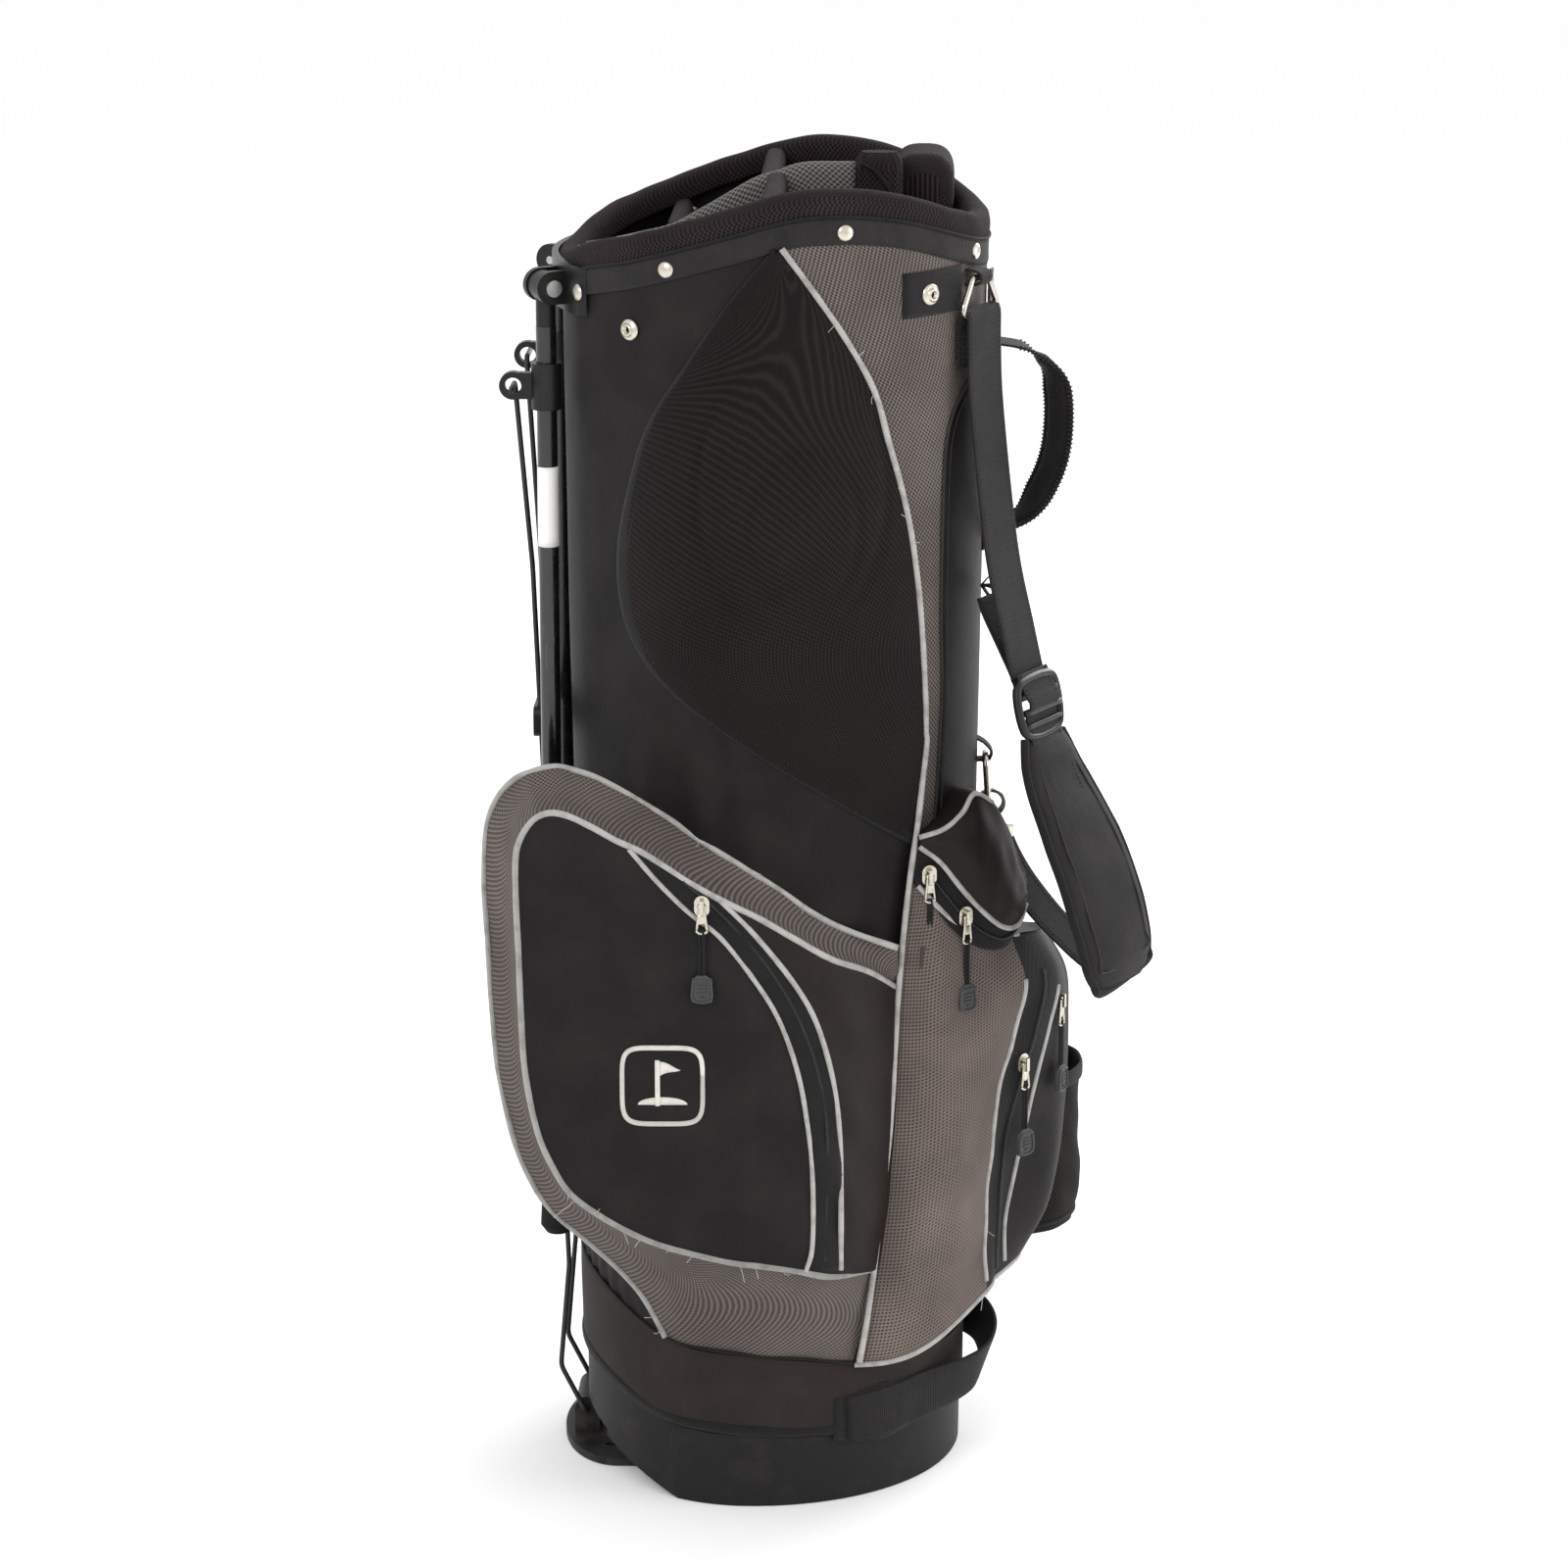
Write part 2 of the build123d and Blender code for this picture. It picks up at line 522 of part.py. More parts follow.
ball_plan = plan_block([(84, -60), (92, -99), (140, -80), (150, -70), (182, -36), (193, -12), (193, 4),
                        (182, 14),
                        (100, 14)], 80, 420)
ball_profile = profile_block([(60, 86), (115, 103), (150, 108), (172, 131), (186, 169), (194, 230),
                              (195, 285),
                              (191, 318), (178, 345), (158, 352), (127, 364), (101, 395), (60, 402)])
with BuildPart() as ball_pocket:
    add(ball_plan)
    add(ball_profile, mode=Mode.INTERSECT)
    add(column(60, 460, 1.7), mode=Mode.SUBTRACT)
    add(box_block((0, -140, 60), (94.5, 0, 420)), mode=Mode.SUBTRACT)
keep(ball_pocket.part, "ball_pocket")

valuables_plan = plan_block([(98, -60), (105, -93), (132, -84), (158, -62), (165, -50), (120, -46)],
                            330, 460)
# The pocket and, under it, the band of its zip down to the ball pocket.
valuables_profile = profile_block([(104, 424), (119, 430), (134, 446), (150, 415), (170, 374), (166, 350),
                                   (150, 342), (126, 352), (104, 380)])
with BuildPart() as valuables_pocket:
    add(valuables_plan)
    add(valuables_profile, mode=Mode.INTERSECT)
    add(column(340, 460, 0.3), mode=Mode.SUBTRACT)
    add(ball_pocket.part, mode=Mode.SUBTRACT)
keep(valuables_pocket.part, "valuables_pocket")

far_outline = [(-74, 150), (-78, 350), (-72, 540), (-40, 604), (20, 612), (66, 590), (84, 520), (84, 300),
               (78, 150), (50, 112), (0, 106), (-48, 114)]
with BuildPart() as far_pocket:
    for depth, share in ((90, 1.0), (168, 0.88)):
        with BuildSketch(Plane.XZ.offset(-depth)):
            with BuildLine():
                Spline(*[(share * x, 360 + share * (z - 360)) for x, z in far_outline], periodic=True)
            make_face()
    loft(ruled=True)
    add(column(60, 700, 1.7), mode=Mode.SUBTRACT)
keep(far_pocket.part, "far_pocket")

POUCH_AT, POUCH_R, POUCH_WALL, POUCH_LOW, POUCH_HIGH = (160, 66), 48.0, 3.0, 124.0, 226.0
with BuildPart() as bottle_pouch:
    with BuildSketch(Plane.XY.offset(POUCH_LOW)):
        with Locations(POUCH_AT):
            Circle(POUCH_R)
        with Locations((POUCH_AT[0] - 30, POUCH_AT[1])):
            Rectangle(60, 2 * POUCH_R)
    extrude(amount=POUCH_HIGH - POUCH_LOW)
    add(column(60, 300, 0.3), mode=Mode.SUBTRACT)
    with BuildSketch(Plane.XY.offset(POUCH_LOW + POUCH_WALL)):
        with Locations(POUCH_AT):
            Circle(POUCH_R - POUCH_WALL)
        with Locations((POUCH_AT[0] - 20, POUCH_AT[1])):
            Rectangle(40, 2 * (POUCH_R - POUCH_WALL))
    extrude(amount=POUCH_HIGH, mode=Mode.SUBTRACT)
keep(bottle_pouch.part, "bottle_pouch")

# ---- zip sliders and their pulls --------------------------------------------------------
SLIDER_W, SLIDER_H, SLIDER_T, BAIL_RISE = 9.0, 13.0, 3.2, 3.9
PULL_RISE, TAB_THICK, PULL_CORD_R, PULL_END_R = 1.45, 1.1, 1.3, 2.9
# name, point on the pocket's face, azimuth the face looks to
ZIPS = [
    ("side", (-23, FRONT_Y - 0.5, 402), -90.0),
    ("ball_front", (167.0, -53.0, 268), -43.3),
    ("ball_top", (188.5, -24.5, 300), -24.6),
    ("valuables", (109.5, -93.2, 400.5), -72.0),
    ("spare", (131.3, -87.4, 373), -62.0),
]
for name, at, azimuth in ZIPS:
    face = side_plane(azimuth, at)
    with BuildPart() as slider:
        with BuildSketch(face):
            SlotOverall(SLIDER_H, SLIDER_W, rotation=90)
        extrude(amount=SLIDER_T)
        with BuildSketch(face.offset(SLIDER_T)):
            with Locations((0, 3.4), (0, -3.4)):
                Rectangle(2.4, 1.6)
        extrude(amount=BAIL_RISE)
        with BuildSketch(face.offset(SLIDER_T + BAIL_RISE - 1.2)):
            Rectangle(2.4, 8.4)
        extrude(amount=1.2)
    keep(slider.part, f"zip_slider_{name}")

    # The pull hangs from the slider's bail: a metal tab, a short cord and a rubber end.
    hang = face.offset(SLIDER_T + PULL_RISE)
    with BuildPart() as pull:
        with BuildSketch(hang.offset(-TAB_THICK / 2)):
            with Locations((0, -7.8)):
                SlotOverall(17.4, 7, rotation=90)
            with Locations((0, -3.7)):
                SlotOverall(5.6, 3.6, rotation=90, mode=Mode.SUBTRACT)
        extrude(amount=TAB_THICK)
        with BuildSketch(Plane(origin=hang.from_local_coords((0, -15.5, 0)), z_dir=(0, 0, -1))):
            Circle(PULL_CORD_R)
        extrude(amount=28)
        with BuildSketch(Plane(origin=hang.from_local_coords((0, -42, 0)), z_dir=(0, 0, -1))):
            Circle(PULL_END_R)
        extrude(amount=17)
    keep(pull.part, f"zip_pull_{name}")

# ---- shoulder strap ---------------------------------------------------------------------
strap_frame = Plane(origin=(STRAP_TOP[0], STRAP_TOP[1], 0),
                    x_dir=(cos(radians(STRAP_TURN)), sin(radians(STRAP_TURN)), 0),
                    z_dir=(sin(radians(STRAP_TURN)), -cos(radians(STRAP_TURN)), 0))


def ribbon(frame, points, width, thick):
    """A band that follows (outward, z) points in a vertical frame, its width square to it."""
    inner = [(s - thick / 2, z) for s, z in points]
    outer = [(s + thick / 2, z) for s, z in points]
    with BuildPart() as band:
        with BuildSketch(frame):
            with BuildLine():
                Spline(*inner)
                Line(inner[-1], outer[-1])
                Spline(*outer)
                Line(outer[0], inner[0])
            make_face()
        extrude(amount=width / 2, both=True)
    return band.part


RING_Z, RING_HALF, APEX_Z = 736.0, 22.0, 757.0
ring_face = side_plane(STRAP_TURN, (STRAP_TOP[0], STRAP_TOP[1], 0))
with BuildPart() as d_ring:
    with BuildLine() as ring_path:
        FilletPolyline(*[ring_face.from_local_coords((x, z, 0)) for x, z in (
            (0, RING_Z), (RING_HALF, RING_Z), (9, APEX_Z), (-9, APEX_Z), (-RING_HALF, RING_Z),
            (-1, RING_Z))],
            radius=4)
    with BuildSketch(Plane(origin=ring_face.from_local_coords((0, RING_Z, 0)), z_dir=ring_face.x_dir)):
        Circle(RING_R)
    sweep(path=ring_path.line)
    with BuildSketch(Plane(origin=ring_face.from_local_coords((-2, RING_Z, 0)), z_dir=ring_face.x_dir)):
        Circle(RING_R)
    extrude(amount=4)
keep(d_ring.part, "d_ring")


def tab_loop(frame, half, reach):
    """A folded webbing loop: frame origin at the ring's bar, reaching back to the barrel."""
    with BuildPart() as loop:
        with BuildSketch(Plane(origin=frame.origin, x_dir=frame.z_dir, z_dir=frame.x_dir)):
            with Locations(((7.5 - reach) / 2, 0)):
                Rectangle(7.5 + reach, 13)
            Rectangle(11, 9, mode=Mode.SUBTRACT)
        extrude(amount=half, both=True)
        add(column(400, 800, GAP), mode=Mode.SUBTRACT)
    return loop.part


with BuildPart() as tab_plate:
    add(column(739, 766, 2.6))
    add(column(730, 770, GAP), mode=Mode.SUBTRACT)
    add(box_block((60, -94, 700), (FAR, -44.5, 800)), mode=Mode.INTERSECT)
strap_loop = tab_loop(side_plane(STRAP_TURN, (STRAP_TOP[0], STRAP_TOP[1], APEX_Z)), 6, 20)
with BuildPart() as strap_tab:
    add(tab_plate.part)
    add(strap_loop)
    add(above(band_underside), mode=Mode.SUBTRACT)
    add(spine_panel.part, mode=Mode.SUBTRACT)
keep(strap_tab.part, "strap_tab")

upper_route = [(0, 732), (6, 676), (17, 594), (36, 518)]
keep(ribbon(strap_frame, upper_route, WEBBING_WIDTH, WEBBING_THICK), "strap_webbing_upper")
keep(ribbon(strap_frame, [(37, 517.5), (41, 501), (46, 485)], 46, 8), "ladder_buckle")
pad_route = [(46.5, 484), (54, 462), (70, 432), (84, 404), (97, 368), (104, 336)]
with BuildPart() as pad_outline:
    with BuildSketch(side_plane(STRAP_TURN, (STRAP_TOP[0], STRAP_TOP[1], 0))):
        with BuildLine():
            Spline((-22, 486), (-30, 462), (-39, 420), (-40, 380), (-36, 350), (-20, 334), (0, 331),
                   (20, 334),
                   (36, 350), (40, 380), (39, 420), (30, 462), (22, 486))
            Line((22, 486), (-22, 486))
        make_face()
    extrude(amount=FAR / 2)
with BuildPart() as shoulder_pad:
    add(ribbon(strap_frame, pad_route, PAD_WIDTH + 8, PAD_THICK))
    add(pad_outline.part, mode=Mode.INTERSECT)
keep(shoulder_pad.part, "shoulder_pad")

# The lower anchor: a short loop on the spine, an oval ring, a snap hook and the return webbing.
ANCHOR = (143.5, -4.0, 452.0)
with BuildPart() as lower_tab:
    add(tab_loop(side_plane(0, ANCHOR), 5, 20))
    add(box_block((60, -9, 440), (FAR, 1, 469.5)), mode=Mode.INTERSECT)
keep(lower_tab.part, "lower_tab")

OVAL_LOW, OVAL_HALF = 424.0, 9.0
with BuildPart() as oval_ring:
    with BuildLine() as oval_path:
        FilletPolyline(*[(ANCHOR[0] + out, ANCHOR[1] + aside, z) for out, aside, z in (
            (0, 0, ANCHOR[2]), (0, OVAL_HALF, ANCHOR[2]), (2, OVAL_HALF, OVAL_LOW),
            (2, -OVAL_HALF, OVAL_LOW), (0, -OVAL_HALF, ANCHOR[2]), (0, -1, ANCHOR[2]))], radius=6)
    with BuildSketch(Plane(origin=ANCHOR, z_dir=(0, 1, 0))):
        Circle(RING_R)
    sweep(path=oval_path.line)
    with BuildSketch(Plane(origin=(ANCHOR[0], ANCHOR[1] - 2, ANCHOR[2]), z_dir=(0, 1, 0))):
        Circle(RING_R)
    extrude(amount=4)
keep(oval_ring.part, "oval_ring")

HOOK_X, HOOK_Z, HOOK_R = ANCHOR[0] + 4, 421.0, 9.0
with BuildPart() as snap_hook:
    with BuildSketch(Plane(origin=(HOOK_X, ANCHOR[1], HOOK_Z), x_dir=(1, 0, 0), z_dir=(0, -1, 0))):
        Circle(HOOK_R)
        with Locations((0.5, 1)):
            Circle(HOOK_R - 3.2, mode=Mode.SUBTRACT)
    extrude(amount=2.0, both=True)
    with BuildSketch(Plane(origin=(HOOK_X, ANCHOR[1], HOOK_Z - HOOK_R + 1), z_dir=(0.25, -0.2, -1))):
        Circle(3.4)
    extrude(amount=15)
    with BuildSketch(Plane(origin=(HOOK_X + 3.6, ANCHOR[1] - 2.8, HOOK_Z - HOOK_R - 14),
                           x_dir=(0.707, 0.707, 0),
                           z_dir=(0, 0, 1))):
        RectangleRounded(28, 7, 3)
    extrude(amount=7)
keep(snap_hook.part, "snap_hook")

return_frame = Plane(origin=(HOOK_X + 3.6, ANCHOR[1] - 2.8, 0), x_dir=(0.628, -0.778, 0),
                     z_dir=(-0.778, -0.628, 0))
keep(ribbon(return_frame, [(0, 397), (20, 380), (50, 362), (85, 347), (118, 338)], 25, WEBBING_THICK),
     "strap_webbing_lower")

# ---- carry handles ----------------------------------------------------------------------
HANDLE_TOP, HANDLE_LOW, HANDLE_Y, HANDLE_HALF = 708.0, 588.0, 8.0, 12.5
HANDLE_AXIS_X, HANDLE_NECK_X = 147.5, 154.0
NECK_HALF = 3.0             # the narrow neck on which a handle turns
with BuildPart() as handle_plan:
    with BuildSketch(Plane.XY.offset(560)):
        with Locations((HANDLE_NECK_X + FAR / 2, HANDLE_Y)):
            Rectangle(FAR, 2 * HANDLE_HALF)
        with Locations(((HANDLE_AXIS_X + HANDLE_NECK_X + 1) / 2, HANDLE_Y)):
            Rectangle(HANDLE_NECK_X + 1 - HANDLE_AXIS_X, 2 * NECK_HALF)
        with Locations((HANDLE_AXIS_X, HANDLE_Y)):
            Circle(NECK_HALF)
    extrude(amount=200)
with BuildPart() as grab_handle:
    with BuildSketch(Plane.XZ.offset(-HANDLE_Y)):
        with BuildLine():
            Spline((144, HANDLE_TOP + 3), (168, HANDLE_TOP - 2), (187, 684), (187, 640), (172, 604),
                   (144, HANDLE_LOW))
            Line((144, HANDLE_LOW), (144, HANDLE_LOW + 9))
            Spline((144, HANDLE_LOW + 9), (166, 610), (180, 642), (180, 680), (165, HANDLE_TOP - 9),
                   (144, HANDLE_TOP - 3))
            Line((144, HANDLE_TOP - 3), (144, HANDLE_TOP + 3))
        make_face()
    extrude(amount=HANDLE_HALF, both=True)
    add(handle_plan.part, mode=Mode.INTERSECT)
keep(grab_handle.part, "grab_handle")

with BuildPart() as handle_anchors:
    for z in (HANDLE_TOP, HANDLE_LOW + 4):
        add(box_block((100, HANDLE_Y - 15, z - 9), (144, HANDLE_Y + 15, z + 9)))
    add(column(540, 760, 2.3), mode=Mode.SUBTRACT)
keep(handle_anchors.part, "handle_anchors")

# The base handle: webbing that leaves the skirt band on the near side and comes back beyond the
# spine, on narrow necks at both ends.
BASE_Z, BASE_HALF, BASE_NECK_X = 60.0, 15.0, 126.0
with BuildPart() as base_handle:
    with BuildSketch(Plane.XY.offset(BASE_Z - BASE_HALF)):
        with BuildLine():
            Spline((118.6, -62), (134, -52), (147, -34), (151, -8), (146, 22), (135, 42), (124.8, 52))
            Line((124.8, 52), (123.6, 49.8))
            Spline((123.6, 49.8), (133, 40), (143.5, 21), (148.5, -8), (144.6, -33), (132.6, -50),
                   (118, -59.6))
            Line((118, -59.6), (118.6, -62))
        make_face()
    extrude(amount=2 * BASE_HALF)
    add(profile_block([(100, BASE_Z - NECK_HALF), (BASE_NECK_X, BASE_Z - NECK_HALF),
                       (BASE_NECK_X + 6, BASE_Z - BASE_HALF), (FAR, BASE_Z - BASE_HALF),
                       (FAR, BASE_Z + BASE_HALF), (BASE_NECK_X + 6, BASE_Z + BASE_HALF),
                       (BASE_NECK_X, BASE_Z + NECK_HALF), (100, BASE_Z + NECK_HALF)]), mode=Mode.INTERSECT)
keep(base_handle.part, "base_handle")
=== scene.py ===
"""Looks for the golf stand bag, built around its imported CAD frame.

Points are in millimetres in the frame of the CAD model: +X is the strap side, -X the leg side and -Y
the side with the large pocket. Maker turns them into metres.
"""

from math import cos, pi, radians, sin

import bmesh
import bpy
import numpy as np
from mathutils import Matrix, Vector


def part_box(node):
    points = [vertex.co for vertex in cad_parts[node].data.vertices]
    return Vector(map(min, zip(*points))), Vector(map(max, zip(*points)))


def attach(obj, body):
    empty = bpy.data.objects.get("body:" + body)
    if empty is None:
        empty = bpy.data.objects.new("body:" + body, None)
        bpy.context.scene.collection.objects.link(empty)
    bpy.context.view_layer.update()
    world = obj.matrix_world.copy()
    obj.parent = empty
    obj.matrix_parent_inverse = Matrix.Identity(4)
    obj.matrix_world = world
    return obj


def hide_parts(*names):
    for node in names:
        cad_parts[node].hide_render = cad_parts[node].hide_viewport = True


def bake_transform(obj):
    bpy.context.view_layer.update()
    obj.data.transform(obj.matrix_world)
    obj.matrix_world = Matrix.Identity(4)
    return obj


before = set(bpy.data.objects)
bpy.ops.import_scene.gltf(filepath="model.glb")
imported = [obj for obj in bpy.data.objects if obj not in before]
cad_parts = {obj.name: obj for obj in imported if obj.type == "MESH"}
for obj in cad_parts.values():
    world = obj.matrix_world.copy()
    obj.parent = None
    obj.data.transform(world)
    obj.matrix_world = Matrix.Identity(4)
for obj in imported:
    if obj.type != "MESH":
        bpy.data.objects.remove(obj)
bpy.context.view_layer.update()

MM = 0.001
CAMERA_LENS, CAMERA_SENSOR = 113.5, 36.0
CAMERA_TURN, CAMERA_TILT = radians(2.2), radians(74.4)
CAMERA_DISTANCE, CAMERA_HEIGHT, CAMERA_ASIDE = 2.955, 1.255, 0.019
FLOOR_REACH, FLOOR_DROP = 12.0, 0.0004
# Each lamp has a name, a place, a size in metres and a power in watts.
LAMPS = [("key", (-1.4, -2.4, 2.3), 1.3, 34), ("back", (1.4, 2.2, 1.8), 1.8, 60),
         ("side", (2.6, -0.6, 1.0), 1.2, 20)]
STRAP_HALF, LEG_HALF, DEPTH_HALF = 131.0, 107.0, 124.0
STRAP_TAPER, LEG_TAPER, DEPTH_TAPER = 10.0, 8.0, -2.0
TAPER_HEIGHT = 800.0
CUFF_HEIGHT, BAND_HEIGHT = 15.0, 16.0

# Sloping edges, as (x, z).
RIM_LINE = [(-160, 741), (-115, 766), (-95, 779), (-64, 789), (-13, 805), (37, 817), (86, 813), (128, 796),
            (180, 766)]
BOOT_LINE = [(-140, 74), (-97, 66), (-56, 51), (-12, 47), (44, 44), (100, 38), (160, 32)]
SKIRT_LINE = [(-140, 150), (-98, 131), (-46, 105), (8, 99), (66, 91), (120, 84), (170, 76)]
DIVIDER_LINE = [(-140, 764), (-95, 769), (-46, 780), (-19, 794), (1, 806), (19, 813), (43, 818), (140, 816)]


# ---- camera, light and floor ------------------------------------------------------------
def set_the_stage():
    scene = bpy.context.scene
    scene.view_settings.view_transform = "Standard"
    camera = bpy.data.objects.new("camera", bpy.data.cameras.new("camera"))
    scene.collection.objects.link(camera)
    scene.camera = camera
    camera.data.lens = CAMERA_LENS
    camera.data.sensor_width = CAMERA_SENSOR
    camera.location = (sin(CAMERA_TURN) * CAMERA_DISTANCE + cos(CAMERA_TURN) * CAMERA_ASIDE,
                       sin(CAMERA_TURN) * CAMERA_ASIDE - cos(CAMERA_TURN) * CAMERA_DISTANCE, CAMERA_HEIGHT)
    camera.rotation_euler = (CAMERA_TILT, 0, CAMERA_TURN)

    world = bpy.data.worlds.new("studio")
    scene.world = world
    world.use_nodes = True
    world.node_tree.nodes["Background"].inputs["Color"].default_value = (1, 1, 1, 1)
    world.node_tree.nodes["Background"].inputs["Strength"].default_value = 1.0
    for name, place, size, power in LAMPS:
        lamp = bpy.data.lights.new(name, "AREA")
        lamp.energy, lamp.size = power, size
        light = bpy.data.objects.new(name, lamp)
        scene.collection.objects.link(light)
        light.location = place
        aim = Vector((0, 0, 0.4)) - Vector(place)
        light.rotation_euler = aim.to_track_quat("-Z", "Y").to_euler()

    mesh = bpy.data.meshes.new("floor")
    corners = [(x * FLOOR_REACH, y * FLOOR_REACH, 0) for x, y in ((-1, -1), (1, -1), (1, 1), (-1, 1))]
    mesh.from_pydata(corners, [], [(0, 1, 2, 3)])
    floor = bpy.data.objects.new("floor", mesh)
    floor.location.z = -FLOOR_DROP
    scene.collection.objects.link(floor)
    paint = Paint("floor_white", 0.9)
    paint.shader.inputs["Base Color"].default_value = (0.985, 0.985, 0.985, 1)
    mesh.materials.append(paint.material)


# ---- lines and surfaces -----------------------------------------------------------------
def spans(points, each=8):
    """A smooth line through the points, with the same number of steps between each two."""
    points = np.asarray(points, float)
    padded = np.vstack([2 * points[0] - points[1], points, 2 * points[-1] - points[-2]])
    step = np.linspace(0, 1, each, endpoint=False)[:, None]
    runs = []
    for a, b, c, d in zip(padded, padded[1:], padded[2:], padded[3:]):
        runs.append(0.5 * (2 * b + (c - a) * step + (2 * a - 5 * b + 4 * c - d) * step ** 2
                           + (3 * b - a - 3 * c + d) * step ** 3))
    return np.vstack(runs + [points[-1:]])


def even(points, count):
    """The smooth line through the points, as this many evenly spaced ones."""
    dense = spans(points, 16)
    length = np.concatenate([[0], np.cumsum(np.linalg.norm(np.diff(dense, axis=0), axis=1))])
    at = np.linspace(0, length[-1], count)
    return np.column_stack([np.interp(at, length, dense[:, k]) for k in range(dense.shape[1])])


def measured(points, step):
    """The smooth line through the points, one every step millimetres."""
    dense = spans(points, 16)
    total = np.linalg.norm(np.diff(dense, axis=0), axis=1).sum()
    return even(points, max(3, int(total / step) + 1))


def heights(line):
    """A sloping edge as a function of x."""
    dense = spans(line, 16)
    return lambda x: np.interp(x, dense[:, 0], dense[:, 1])


rim_height, boot_height = heights(RIM_LINE), heights(BOOT_LINE)
skirt_height, divider_height = heights(SKIRT_LINE), heights(DIVIDER_LINE)



def barrel(angle, z, grow=0.0):
    """Points on the barrel by ellipse angle and height: 0 is the strap side, -90 the near side."""
    angle, z, grow = np.broadcast_arrays(np.asarray(angle, float), np.asarray(z, float),
                                         np.asarray(grow, float))
    turn, share = np.radians(angle), z / TAPER_HEIGHT
    side = np.where(np.cos(turn) > 0, STRAP_HALF + STRAP_TAPER * share, LEG_HALF + LEG_TAPER * share) + grow
    depth = DEPTH_HALF + DEPTH_TAPER * share + grow
    return np.stack([side * np.cos(turn), depth * np.sin(turn), z], -1)


def angle_at(x, z, near=True):
    """The ellipse angle of the barrel's near or far wall at this x."""
    x, z = np.asarray(x, float), np.asarray(z, float)
    share = z / TAPER_HEIGHT
    side = np.where(x > 0, STRAP_HALF + STRAP_TAPER * share, LEG_HALF + LEG_TAPER * share)
    angle = np.degrees(np.arccos(np.clip(x / side, -1, 1)))
    return -angle if near else angle


def round_height(edge, angle):
    """Height of a sloping edge where it passes this angle of the barrel."""
    return edge(barrel(angle, 780.0 if edge is rim_height else 80.0)[..., 0])


def normals(grid):
    """Unit normals of a grid of points."""
    across, along = np.gradient(grid, axis=1), np.gradient(grid, axis=0)
    normal = np.cross(across, along)
    length = np.linalg.norm(normal, axis=2, keepdims=True)
    return normal / np.maximum(length, 1e-9)


def lifted(grid, amount):
    """The grid with its points moved along their normals."""
    amount = np.broadcast_to(np.asarray(amount, float), grid.shape[:2])
    return grid + normals(grid) * amount[..., None]


def crumple(a, b, seed, size):
    """Smooth seeded unevenness from -1 to 1, with features about size millimetres across."""
    draw = np.random.default_rng(seed)
    total = np.zeros(np.broadcast(a, b).shape)
    for share in (1.0, 0.8, 0.6, 0.45, 0.3):
        way, phase = draw.uniform(0, 2 * pi, 2)
        pitch = size * draw.uniform(0.6, 1.4)
        total += share * np.sin(2 * pi * (a * cos(way) + b * sin(way)) / pitch + phase)
    return total / 3.15


def skin(guides, across=8, along=8):
    """A surface through guide lines that have the same number of points."""
    lines = np.array([spans(g, along) for g in guides])
    columns = [spans(lines[:, k], across) for k in range(lines.shape[1])]
    return np.array(columns).transpose(1, 0, 2)


def frames(path, side=None):
    """Side and normal directions along a path."""
    path = np.asarray(path, float)
    tangent = np.gradient(path, axis=0)
    tangent /= np.linalg.norm(tangent, axis=1, keepdims=True)
    if side is None:
        first = np.cross(tangent[0], (0, 0, 1) if abs(tangent[0][2]) < 0.9 else (1, 0, 0))
        sides = [first / np.linalg.norm(first)]
        for t in tangent[1:]:
            turned = sides[-1] - t * (sides[-1] @ t)
            sides.append(turned / np.linalg.norm(turned))
        sides = np.array(sides)
    else:
        sides = np.broadcast_to(np.asarray(side, float), path.shape)
        sides = sides - tangent * np.sum(sides * tangent, axis=1, keepdims=True)
        sides = sides / np.linalg.norm(sides, axis=1, keepdims=True)
    return sides, np.cross(tangent, sides)


def sweep(path, section, side=None, wide=1.0, thick=1.0):
    """A grid of a closed section carried along a path."""
    sides, ups = frames(path, side)
    section = np.asarray(section, float)
    section = np.vstack([section, section[:1]])
    wide = np.broadcast_to(wide, len(path))
    thick = np.broadcast_to(thick, len(path))
    return np.array([p + np.outer(section[:, 0] * w, s) + np.outer(section[:, 1] * t, u)
                     for p, s, u, w, t in zip(path, sides, ups, wide, thick)])


def oval(width, thick, power=2.0, count=12):
    """A closed section between an ellipse, power 2, and a rectangle, a high power."""
    turn = np.linspace(0, 2 * pi, count, endpoint=False) + pi / count
    c, s = np.cos(turn), np.sin(turn)
    return np.column_stack([width / 2 * np.sign(c) * abs(c) ** (2 / power),
                            thick / 2 * np.sign(s) * abs(s) ** (2 / power)])


def box_of(node):
    """The low and high corners of a CAD node, in millimetres."""
    low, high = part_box(node)
    return np.array(low) / MM, np.array(high) / MM


def steps_of(grid):
    """The row and column numbers of a grid of points, as a column and a row."""
    return np.arange(grid.shape[0])[:, None], np.arange(grid.shape[1])[None, :]


